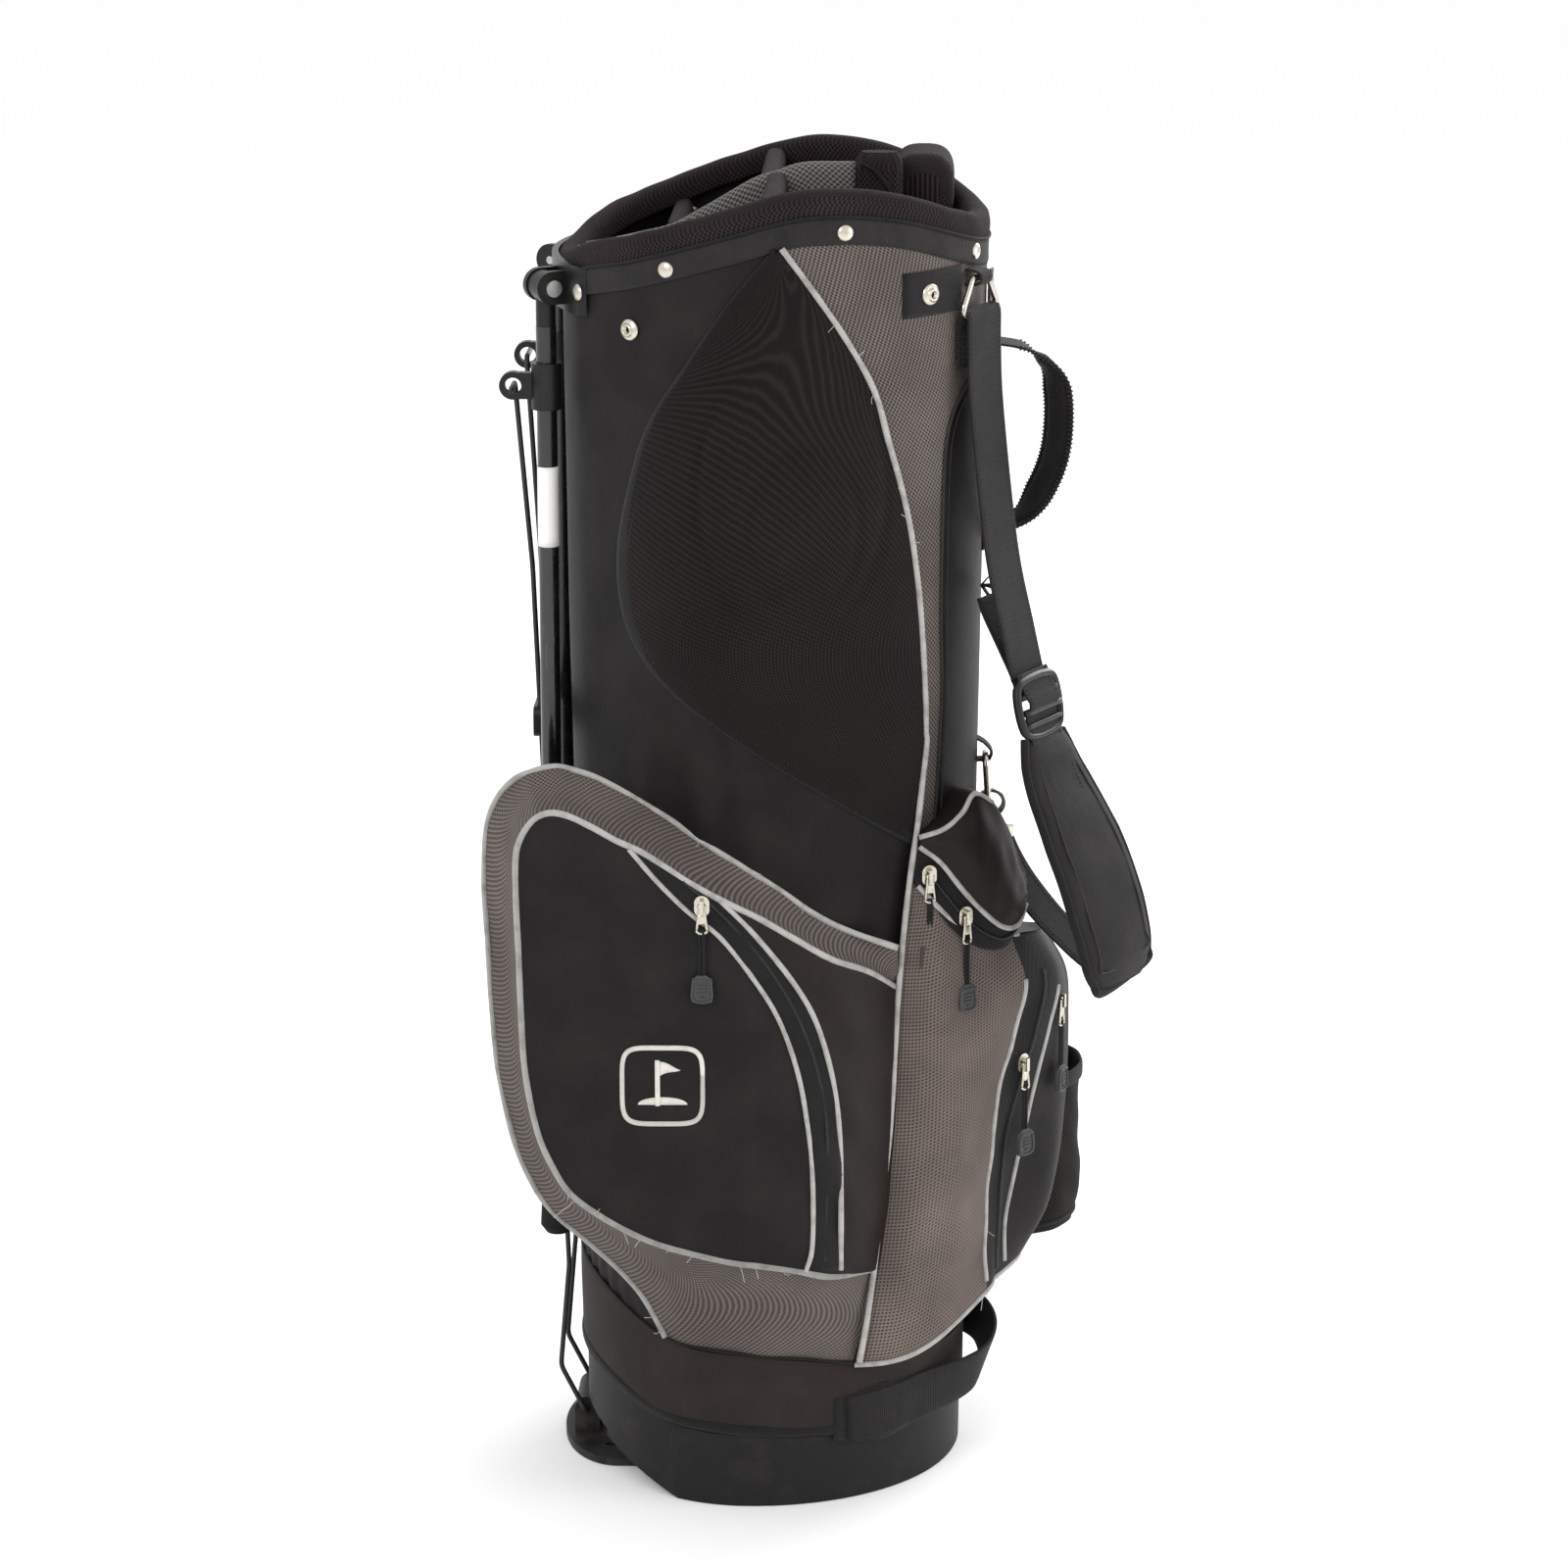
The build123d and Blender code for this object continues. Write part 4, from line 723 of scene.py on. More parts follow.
def across_z(line):
    """x of a line as a function of z, for a line that only goes down."""
    dense = spans(line, 16)[::-1]
    return lambda z: np.interp(z, dense[:, 1], dense[:, 0])


piping_x, hip_x = across_z(LONG_PIPING), across_z(HIP_LEFT)


def wall(x, z, grow=0.0, near=True):
    """Points on the barrel's near or far wall by x and height."""
    return barrel(angle_at(x, z, near), z, grow)


levels = np.linspace(392, 786, 120)[:, None]
first = angle_at(piping_x(levels), levels)
share = np.linspace(0, 1, 110)[None, :]
turns = first + (62 - first) * share
top = round_height(rim_height, turns) - CUFF_HEIGHT - BAND_HEIGHT + 1.0
panel = barrel(turns, np.minimum(levels, top), 0.75)
panel = lifted(panel, 0.3 * crumple(turns * 2, levels, 21, 60))
Maker().grid(panel).piece("side_mesh_panel", GREY_MESH, slot="spine_fabric", thick=0.6)

edge = spans(SPINE_EDGE, 12)
share = np.linspace(-1, 1, 41)[None, :]
spine = barrel(-edge[:, 1:] * share, edge[:, :1], 1.1 + 0.9 * (1 - abs(share) ** 8))
Maker().grid(spine).piece("spine_panel_cloth", BLACK_NYLON, slot="spine_fabric",
                          replaces=["spine_panel"], thick=1.2)
for side in (1, -1):
    line = barrel(side * edge[:, 1], edge[:, 0], 1.8)
    inner = barrel(side * (edge[:, 1] + 2.2), edge[:, 0] - 2.0, 2.3)
    Maker().tube(line, 0.9, 6).tube(inner, 0.35,
                                    5).piece(f"spine_edge_{'near' if side > 0 else 'far'}", STITCH,
                                             slot="spine_fabric")
far_edge_line = barrel(np.full(40, 62.0), np.linspace(400, 752, 40), 1.2)
Maker().tube(far_edge_line, 1.7, 8).piece("far_panel_piping", PIPING, slot="pocket_fabric")

# The padded mesh panel that rests on the hip, with channels pressed into it and a taped edge.
rows = np.linspace(414, 786, 150)[:, None]
left, right = hip_x(rows), piping_x(rows)
share = np.linspace(0, 1, 90)[None, :]
hip_at = left + (right - left) * share
hip_z = np.minimum(rows + 0 * share, rim_height(hip_at) - CUFF_HEIGHT - BAND_HEIGHT + 0.5)
swell = 5.2 * np.clip(4 * share * (1 - share), 0, 1) ** 0.55 * np.clip((rows - 414) / 70, 0, 1) ** 0.6
swell *= np.clip((786 - rows) / 60, 0.1, 1) ** 0.5
for centre, reach, depth in (((28, 640), 62, 1.5), ((34, 618), 36, 1.3)):
    far_off = np.hypot((hip_at - centre[0]) * 1.15, (hip_z - centre[1]) * 0.72)
    swell -= depth * np.exp(-((far_off - reach) / 3.6) ** 2) * (hip_z > centre[1] - reach * 1.1)
hip = wall(hip_at, hip_z, 1.2 + swell)
hip_pad = Maker().grid(hip).piece("hip_pad_mesh", BLACK_MESH, slot="hip_mesh", replaces=["hip_pad"],
                                  thick=1.5)
binding = measured(HIP_LEFT, 4.0)
strip = wall((binding[:, :1] + np.array([-1.0, 1.5, 4.5, 7.5, 9.0])), binding[:, 1:],
             np.array([1.2, 2.3, 2.7, 3.2, 3.0]))
Maker().grid(strip, flip=True).piece("hip_pad_binding", BINDING, slot="hip_mesh", thick=0.8)


# ---- piping, stitching and loose threads ------------------------------------------------
PIPING_STEP = 2.5


def piping(name, path, radius, material=PIPING):
    """Sewn-in piping that is a little uneven, as worn piping is."""
    line = measured(path, PIPING_STEP)
    ripple = radius * (1 + 0.07 * crumple(np.arange(len(line)) * PIPING_STEP, 0.0, len(name), 22))
    Maker().tube(line, ripple, 8).piece(name, material, slot="pocket_fabric")


def threads(name, places, seed, length):
    """Frayed threads standing out of a seam."""
    draw = np.random.default_rng(seed)
    maker = Maker()
    for place in places:
        way = draw.normal(0, 1, 3) * (1, 0.35, 1) + (0, -0.6, -0.5)
        way /= np.linalg.norm(way)
        bend = draw.normal(0, 1, 3) * (1, 0.4, 1)
        reach = length * draw.uniform(0.4, 1.1)
        steps = np.linspace(0, 1, 7)[:, None]
        maker.tube(np.asarray(place) + way * reach * steps + bend * reach * 0.35 * steps ** 2, 0.22, 4)
    maker.piece(name, THREAD, slot="pocket_fabric")


LOWER_PIPING = [(103.5, -88, 434), (99, -93, 400), (95.5, -97.5, 367), (92, -101, 322), (88.5, -103.5, 253),
                (84.5, -105.5, 207), (79.5, -109, 160), (74.5, -112.5, 120), (70, -115.5, 93)]
long_line = measured([(x, z) for x, z in LONG_PIPING if z > 440], 6.0)
long_points = np.vstack([wall(long_line[:, 0], long_line[:, 1], 2.2), LOWER_PIPING])
piping("long_piping", long_points, 1.9)
threads("long_piping_threads", [long_points[i] for i in (9, 13, 17, 18, 22, 24, 27, 30, 33, 38)], 8, 8.0)

# ---- large side pocket ------------------------------------------------------------------
EDGE_Y, FRONT_Y = -113.0, -164.0
# The back line starts at the long piping and goes over the top, down the free side and back
# along the skirt band; the front line has one point for each of its points.
BACK_LINE = [(92, 360), (63, 370), (42, 382), (20, 399), (-1, 413), (-23, 426), (-45, 439), (-68, 453),
             (-86, 463), (-99, 468), (-113, 471), (-127, 468), (-139, 462), (-149, 450), (-155, 432),
             (-157, 399), (-155.5, 362), (-153.5, 318), (-150.5, 281), (-143.5, 243), (-134.5, 215),
             (-120, 190), (-97, 169), (-79, 152), (-66, 137), (-57, 122), (-50, 107), (-22, 103),
             (10, 100), (40, 96), (66, 92)]
FRONT_LINE = [(89, 328), (75, 348), (53, 362), (30, 379), (10, 393), (-10, 404), (-31, 416),
              (-57, 433), (-74, 441), (-88, 449), (-103, 456), (-114, 457), (-123, 452), (-130, 441),
              (-133, 428), (-133, 400), (-132, 370), (-131, 330), (-129, 295), (-122, 258),
              (-112, 234), (-102, 219), (-85, 206), (-66, 195), (-50, 188), (-33, 183), (-8, 177),
              (11, 173), (33, 167), (54, 160), (74, 153)]
FLAP_LEFT = [(-66, 436), (-49, 416), (-31, 398), (-12, 382), (7, 356), (22, 329), (33, 295), (39, 260),
             (42, 225), (42, 183), (38, 166)]
FLAP_RIGHT = [(-12, 405), (11, 379), (33, 347), (45, 321), (54, 287), (58, 249), (59, 210), (59, 164)]
PLAN = [(-170, FRONT_Y), (-20, FRONT_Y), (10, FRONT_Y + 4), (40, -150), (62, -137), (76, -122),
        (86, -108), (93, -97)]


def pocket_front(x, z, lift=0.0):
    """Points on the front panel, crowned towards its middle."""
    x, z = np.broadcast_arrays(np.asarray(x, float), np.asarray(z, float))
    dense = spans(PLAN, 10)
    depth = np.interp(x, dense[:, 0], dense[:, 1])
    crown = 3.6 * bell(x, -48, 100) * bell(z, 310, 190)
    slack = 2.4 * bell(x, 62, 34) * np.sin(z / 9 + x / 7) * bell(z, 250, 130)
    slack += 0.8 * crumple(x, z, 31, 110)
    return np.stack([x, depth - crown - slack - lift, z], -1)


def pocket_back(x, z):
    """The seam on the barrel, or at the free edge's own depth beyond it."""
    on_wall = wall(x, z, 1.2)[..., 1]
    return np.stack([x, np.minimum(on_wall, EDGE_Y), z], -1)


back_line, front_line = np.array(BACK_LINE, float), np.array(FRONT_LINE, float)
back_seam = pocket_back(back_line[:, 0], back_line[:, 1])
front_seam = pocket_front(front_line[:, 0], front_line[:, 1])
front_seam[0], front_seam[-1] = wall(90, 328, 3.0), wall(79, 150, 3.0)
back_run, front_run = spans(back_seam, 6), spans(front_seam, 6)
share = np.linspace(0, 1, 14)[:, None, None]
gusset = back_run[None] + (front_run - back_run)[None] * share
puff = 4.5 * np.sin(pi * share[..., 0]) * np.clip(np.arange(len(back_run)) / 20, 0, 1)
puff = puff * np.clip((len(back_run) - np.arange(len(back_run))) / 12, 0, 1)
wrinkle = crumple(np.arange(len(back_run))[None, :] * 4.0, share[..., 0] * 40, 41, 46)
Maker().grid(lifted(gusset, -puff - 1.1 * wrinkle)).piece(
    "side_pocket_gusset", GREY_MESH, slot="pocket_fabric", replaces=["side_pocket"], thick=1.2)

centre = np.array([-24.0, 300.0])
closing = np.vstack([front_run[-1], wall(88, 205, 3.0), wall(91, 262, 3.0), wall(92, 300, 3.0),
                     front_run[0]])
rim_loop = np.vstack([front_run, spans(closing, 8)[1:]])
rings = []
for shrink in np.linspace(1, 0, 44) ** 0.9:
    flat = centre + (rim_loop[:, [0, 2]] - centre) * shrink
    ring = pocket_front(flat[:, 0], flat[:, 1])
    weight = np.clip((shrink - 0.9) / 0.1, 0, 1)
    rings.append(ring * (1 - weight) + rim_loop * weight)
rings = np.array(rings)
flap_left = across_z(FLAP_LEFT)
satin = (rings[:-1, :-1, 0] > flap_left(rings[:-1, :-1, 2])).astype(int)
Maker().grid(rings, kind=satin, uv=rings[..., [0, 2]], flip=True).piece(
    "side_pocket_front", [BLACK_NYLON, SATIN], slot="pocket_fabric", thick=1.2)

back_centre = np.array([-110.0, 320.0])
back_loop = spans(back_seam[6:27], 6)
rings = []
for shrink in np.linspace(1, 0, 24):
    flat = back_centre + (back_loop[:, [0, 2]] - back_centre) * shrink
    depth = np.full(len(flat), EDGE_Y + 24.0 * (1 - shrink ** 2) ** 0.8)
    rings.append(np.column_stack([flat[:, 0], depth, flat[:, 1]]))
rings = np.array(rings)
outside = wall(rings[..., 0], rings[..., 2], 1.0)[..., 1]
rings[..., 1] = np.where(rings[..., 0] > -100, np.minimum(rings[..., 1], outside), rings[..., 1])
Maker().grid(rings, uv=rings[..., [0, 2]]).piece("side_pocket_back", BLACK_NYLON, slot="pocket_fabric",
                                                 thick=1.2)

piping("side_pocket_outer_piping", back_seam[:-4], 2.0)
piping("side_pocket_hem_piping", back_seam[-6:], 1.0, BINDING)
piping("side_pocket_front_piping", front_seam + (0, -0.8, 0), 1.95)
frayed = [front_run[i] + (0, -1.5, -0.5) for i in (124, 127, 131, 136, 140, 146, 151, 153, 158, 161, 166)]
threads("side_pocket_threads", frayed, 17, 9.0)
threads("outer_piping_threads", [back_run[i] + (0, -1.5, 0) for i in (14, 22, 31, 150, 154)], 23, 6.0)

left_run, right_run = even(FLAP_LEFT, 90), even([(-40, 421)] + FLAP_RIGHT, 90)
share = np.linspace(0, 1, 9)[:, None, None]
flap_flat = left_run[None] + (right_run - left_run)[None] * share
flap = pocket_front(flap_flat[..., 0], flap_flat[..., 1], 0.9 + 0.8 * np.sin(pi * share[..., 0]))
Maker().grid(flap, flip=True).piece("side_zip_tape", BINDING, slot="pocket_fabric", thick=0.8)
piping("side_zip_piping_left", pocket_front(*np.array(FLAP_LEFT, float).T, 1.9), 1.5)
piping("side_zip_piping_right", pocket_front(*np.array(FLAP_RIGHT, float).T, 1.9), 1.7)


COIL_PITCH, COIL_STEPS = 1.5, 4


def coil(name, path, radius=1.3):
    """A zip's coil: a cord ridged by its teeth."""
    line = measured(path, COIL_PITCH / COIL_STEPS)
    ridge = radius * (1 + 0.22 * np.sin(np.arange(len(line)) * 2 * pi / COIL_STEPS))
    Maker().tube(line, ridge, 6).piece(name, BUCKLE, slot="pocket_fabric")


bend = np.radians([52, 47, 42, 36, 30, 24, 18, 12, 6, 0])
slide = [(-170 + 220.5 * cos(a), 243 + 220.5 * sin(a)) for a in bend]
coil("side_zip_coil", pocket_front(*np.array(slide + [(50, 205), (49, 172)], float).T, 1.7))


# ---- pockets on the strap side ----------------------------------------------------------
# Each guide line goes up one column of the ball pocket, from the near side round to the pouch.
BALL_GUIDES = [
    [(67, -111, 90), (78, -104, 149), (84, -101, 207), (88, -98, 253), (91, -96, 322), (94, -94, 362),
     (100, -91, 396)],
    [(94, -112, 94), (101, -108, 150), (107, -105, 210), (110, -104, 262), (113, -103, 322),
     (115, -100, 356), (116, -95, 380)],
    [(123, -100, 108), (127, -95, 158), (131, -92, 210), (134, -91, 262), (139, -89, 312), (141, -86, 340),
     (139, -83, 357)],
    [(147, -66, 122), (146, -62, 171), (149, -62, 215), (155, -62, 262), (166, -60, 302), (168, -58, 328),
     (160, -60, 353)],
    [(152, -51, 125), (154, -50, 171), (157, -50, 215), (166, -50, 255), (177, -49, 296), (180, -46, 326),
     (170, -48, 351)],
    [(158, -40, 126), (158, -39, 160), (167, -38, 208), (178, -38, 262), (187, -36, 303), (188, -32, 328),
     (176, -34, 348)],
    [(168, -16, 128), (184, -15, 162), (191, -13, 215), (194, -11, 262), (194, -10, 300), (190, -10, 324),
     (178, -10, 343)],
    [(160, 6, 124), (180, 7, 162), (188, 8, 215), (190, 8, 262), (190, 8, 300), (186, 8, 322), (174, 8, 340)],
    [(132, 15, 118), (134, 15, 165), (134, 15, 215), (135, 15, 262), (135, 15, 300), (135, 15, 322),
     (135, 15, 338)]]
ball = skin([even(g, 8) for g in BALL_GUIDES], across=10, along=10)
column, upward = steps_of(ball)
folds = 2.6 * bell(column, 14, 14) * (0.5 + 0.5 * np.sin(upward / 8.0 + column / 3.0))
folds = folds - 1.5 * crumple(column * 3.0, upward * 4.0, 51, 60) * bell(column, 22, 26)
ball = lifted(ball, folds)
kinds = np.select([column[:-1] < 30, column[:-1] < 50, column[:-1] < 66], [0, 1, 2], 0)
maker = Maker().grid(ball, kind=kinds)
for end, drop in ((0, -6.0), (-1, 2.0)):
    rim_points = ball[:, end]
    inner = wall(np.clip(rim_points[:, 0], 60, 118), rim_points[:, 2] + drop, 0.5)
    target = np.column_stack([np.full(len(rim_points), 118.0), np.clip(rim_points[:, 1], -58, 12),
                              rim_points[:, 2] + drop])
    inner = np.where(rim_points[:, :1] < 110, inner, target)
    lid = rim_points[None] + (inner - rim_points)[None] * np.linspace(0, 1, 8)[:, None, None]
    maker.grid(lid, kind=2, flip=end == 0)
maker.piece("ball_pocket_cloth", [SQUARE_MESH, BINDING, BLACK_NYLON], slot="pocket_fabric",
            replaces=["ball_pocket"], thick=1.2)
piping("ball_left_piping", ball[30, 2:-9] + (0.6, -0.8, 0), 1.7)
piping("ball_right_piping", ball[50, 2:-12] + (0.8, -0.5, 0), 1.7)
piping("ball_bottom_piping", ball[:66, 0] + (0, -0.6, -0.4), 1.7)
piping("ball_top_piping", ball[2:34, -1] + (0.6, -1.8, 0.4), 1.7)
coil("ball_zip_coil", ball[40, 2:-8] + (0.9, -0.9, 0), 1.5)
frayed = [ball[i, 0] + (0, -1, -0.5) for i in (26, 29, 31, 34, 37, 42)]
threads("ball_threads", frayed + [ball[30, 8], ball[30, 12]], 29, 6.0)

VALUABLES_TOP = [(104, -93, 423), (119, -91, 428), (130, -86, 437), (137, -79, 447), (148, -66, 438),
                 (160, -55, 412), (169, -48, 384)]
VALUABLES_LOW = [(104, -93, 418), (117, -93, 408), (131, -89, 389), (144, -82, 373), (155, -73, 362),
                 (164, -62, 360), (169, -50, 370)]
GUSSET_TOP = [(101, -92, 397), (114, -96, 380), (127, -92, 363), (139, -86, 353), (151, -77, 348),
              (159, -66, 350), (164, -54, 358)]
top, low = even(VALUABLES_TOP, 9), even(VALUABLES_LOW, 9)
belly = (top + low) / 2 + np.outer(np.sin(np.linspace(0, pi, 9)), (5.0, -6.0, 0))
satin_flap = skin([top, belly, low], across=10, along=6)
down, along = steps_of(satin_flap)
satin_flap = lifted(satin_flap, -0.8 * crumple(along * 2.0, down * 4.0, 61, 22))
strip = skin([low + (-1.0, 2.0, 0), even(GUSSET_TOP, 9)], across=8, along=6)
behind = skin([top, top + (-8, 16, -2), np.clip(top + (-26, 40, -6), (90, -90, 350), (150, 60, 450))],
              across=6, along=6)
maker = Maker().grid(satin_flap, kind=0).grid(strip, kind=1).grid(behind, kind=0, flip=True)
maker.piece("valuables_pocket_cloth", [SATIN, BINDING], slot="pocket_fabric",
            replaces=["valuables_pocket"], thick=1.0)
piping("valuables_top_piping", np.array(VALUABLES_TOP, float)[:5] + (0, -0.6, 0.6), 1.6)
piping("valuables_low_piping", np.array(VALUABLES_LOW, float) + (0.3, -0.8, 0), 1.7)
coil("valuables_zip_coil", strip[4, 3:-3] + (0.6, -0.9, 0), 1.2)

# ---- bottle pouch -----------------------------------------------------------------------
low, high = box_of("bottle_pouch")
pouch_y, pouch_r = (low[1] + high[1]) / 2, (high[1] - low[1]) / 2
pouch_x = high[0] - pouch_r
arc = np.radians(np.linspace(-112, 112, 60))
flare = np.array([0.90, 0.97, 1.0, 0.99, 0.97, 0.96, 0.965, 0.99])
levels = np.linspace(low[2] + 1, high[2], 8)
rows = [np.column_stack([pouch_x + pouch_r * f * np.cos(arc), pouch_y + pouch_r * f * np.sin(arc),
                         np.full(60, z)]) for f, z in zip(flare, levels)]
pouch = skin(rows, across=5, along=2)
upward, around = steps_of(pouch)
pouch = lifted(pouch, 0.9 * crumple(around * 2.0, upward * 3.0, 71, 34))
pouch_foot = np.array([pouch_x, pouch_y, levels[0]])
bottom = [pouch[0], (pouch[0] + pouch_foot) / 2, np.broadcast_to(pouch_foot, pouch[0].shape)]
maker = Maker().grid(pouch).grid(bottom, kind=1, flip=True)
maker.piece("bottle_pouch_mesh", [BLACK_MESH, BLACK_NYLON], slot="pouch_fabric",
            replaces=["bottle_pouch"], thick=1.4)
for name, row in (("pouch_hem", -1), ("pouch_base_seam", 2)):
    Maker().bar(pouch[row], oval(10.0 if row < 0 else 3.0, 2.4, 4, 10), side=(0, 0, 1)).piece(
        name, BINDING, slot="pouch_fabric")
tab = measured([(176, 26, 262), (188, 24, 268), (196, 24, 258), (190, 25, 244), (178, 27, 238)], 2.0)
Maker().bar(tab, oval(17.0, 1.4, 4, 12), side=(0.2, 1, 0)).piece("pouch_loop", SATIN, slot="pouch_fabric")

# ---- garment pocket on the far side -----------------------------------------------------
FAR_BACK = [(84, 520), (66, 590), (20, 612), (-40, 604), (-72, 540), (-78, 350), (-74, 150),
            (-48, 114), (0, 106), (50, 112), (78, 150), (84, 300), (84, 520)]
far_line = np.array(FAR_BACK, float)
far_back = wall(far_line[:, 0], far_line[:, 1], 1.4, near=False)
far_front = np.column_stack([far_line[:, 0] * 0.88, np.full(len(far_line), 164.0),
                             360 + (far_line[:, 1] - 360) * 0.9])
back_loop, front_loop = spans(far_back, 14), spans(far_front, 14)
share = np.linspace(0, 1, 12)[:, None, None]
side_wall = back_loop[None] + (front_loop - back_loop)[None] * share
side_wall = lifted(side_wall, 3.0 * np.sin(pi * share[..., 0])
                   + 1.2 * crumple(np.arange(len(back_loop))[None, :] * 8.0, share[..., 0] * 40, 81, 60))
middle = front_loop.mean(axis=0)
face = []
for shrink in np.linspace(1, 0, 40) ** 0.9:
    ring = middle + (front_loop - middle) * shrink
    ring[:, 1] += 5.0 * (1 - shrink ** 2) + 1.1 * crumple(ring[:, 0], ring[:, 2], 83,
                                                          130) * (1 - shrink ** 4)
    face.append(ring)
face = np.array(face)
maker = Maker().grid(side_wall, kind=0, flip=True).grid(face, kind=1, uv=face[..., [0, 2]], flip=True)
maker.piece("far_pocket_cloth", [GREY_MESH, BLACK_NYLON], slot="pocket_fabric",
            replaces=["far_pocket"], thick=1.2)
piping("far_pocket_piping", far_front + (0, 1.0, 0), 1.9)
piping("far_pocket_seam_piping", far_back + (0, 0.8, 0), 1.8)
zip_line = np.column_stack([far_line[2:9, 0] * 0.72, np.full(7, 167.6), 360 + (far_line[2:9, 1] - 360)
                            * 0.8])
tape = measured(zip_line, 4.0)
far_tape = Maker().bar(tape, oval(12.0, 1.2, 4, 12), side=(1, 0, 0.4))
far_tape.piece("far_zip_tape", BINDING, slot="pocket_fabric")
coil("far_zip_coil", zip_line + (0, 1.0, 0), 1.4)


# ---- emblems, rivets and studs ----------------------------------------------------------
def emblem(name, centre, radius, place):
    """A plain golf flag over a mound, inside a rounded square."""
    frame_line = oval(2 * radius, 2 * radius, 5.0, 72)
    ring = np.array([place(centre[0] + a, centre[1] + b) for a,
                     b in np.vstack([frame_line, frame_line[:1]])])
    maker = Maker().tube(ring, radius * 0.045, 6)
    pole = [place(centre[0] - radius * 0.12, centre[1] + radius * s) for s in np.linspace(-0.5, 0.66, 12)]
    maker.tube(np.array(pole), radius * 0.05, 6)
    flag = []
    for s in np.linspace(0, 1, 10):
        x = centre[0] + radius * (-0.1 + 0.56 * s)
        half = radius * 0.2 * (1 - s)
        mid = centre[1] + radius * (0.44 + 0.03 * sin(5 * s))
        flag.append([place(x, mid - half), place(x, mid), place(x, mid + half + 0.01)])
    maker.grid(flag)
    mound = [[place(centre[0] + radius * 0.62 * cos(t), centre[1] - radius * 0.5 + radius * h * sin(t))
              for t in np.linspace(0, pi, 15)] for h in (0.0, 0.12, 0.2)]
    maker.grid(mound)
    maker.piece(name, EMBROIDERY, slot="pocket_fabric", thick=0.5, offset=1)


emblem("side_emblem", (-47, 290), 24.0, lambda x, z: pocket_front(x, z, 1.6))
emblem("ball_emblem", (0, 249), 11.0, lambda x, z: (193.6 - 0.09 * abs(z - 262), -7 + x * 0.9, z))

RIVET = [(0.01, 1.75), (1.6, 1.7), (3.0, 1.35), (4.2, 0.75), (4.9, 0.15), (5.0, -0.4)]
STUD = [(0.01, 0.7), (1.0, 0.7), (2.1, 0.8), (2.3, 2.9), (2.8, 3.4), (3.4, 3.3), (3.9, 2.6),
        (4.1, 1.7), (5.2, 1.5), (6.2, 1.0), (6.5, 0.0)]
DOME = [(0.01, 2.0), (1.8, 1.9), (3.4, 1.4), (4.7, 0.6), (5.0, 0.0)]


def buttons(name, node, places, profile, grow, slot="rivet_metal"):
    """Turned caps on the barrel, at (angle, height) places."""
    maker = Maker()
    for angle, z in places:
        spot = barrel(angle, z, grow)
        beside = barrel(angle + 1, z, grow) - barrel(angle - 1, z, grow)
        facing = np.cross(beside, (0, 0, 1))
        if profile is STUD:
            maker.turned(profile[:1:-1], spot, facing).turned(profile[2::-1], spot, facing, kind=1)
        else:
            maker.turned(profile[::-1], spot, facing)
    maker.piece(name, [RIVET_METAL, BINDING], slot=slot, replaces=[node] if node else ())


RIVET_PLACES = [(-113, 771), (-65.6, 793), (-19, 771), (113, 771), (65.6, 793), (19, 771)]
buttons("rim_rivet_caps", "rim_rivets", RIVET_PLACES, RIVET, 2.0)
buttons("bracket_rivet_caps", "bracket_rivets", [(-146, 750), (146, 750)], DOME, 6.3)
buttons("snap_stud_sockets", "snap_studs", [(-126, 733), (126, 733)], STUD, 0.8, "stud_metal")
buttons("tab_stud_socket", None, [(-41, 752)], STUD, 3.0, "stud_metal")
maker = Maker()
for angle, z in RIVET_PLACES:
    spot = barrel(angle, z - 2, -6.4)
    maker.turned(RIVET[::-1], spot, -spot * (1, 1, 0))
maker.piece("rivet_backs", RIVET_METAL, slot="rivet_metal")

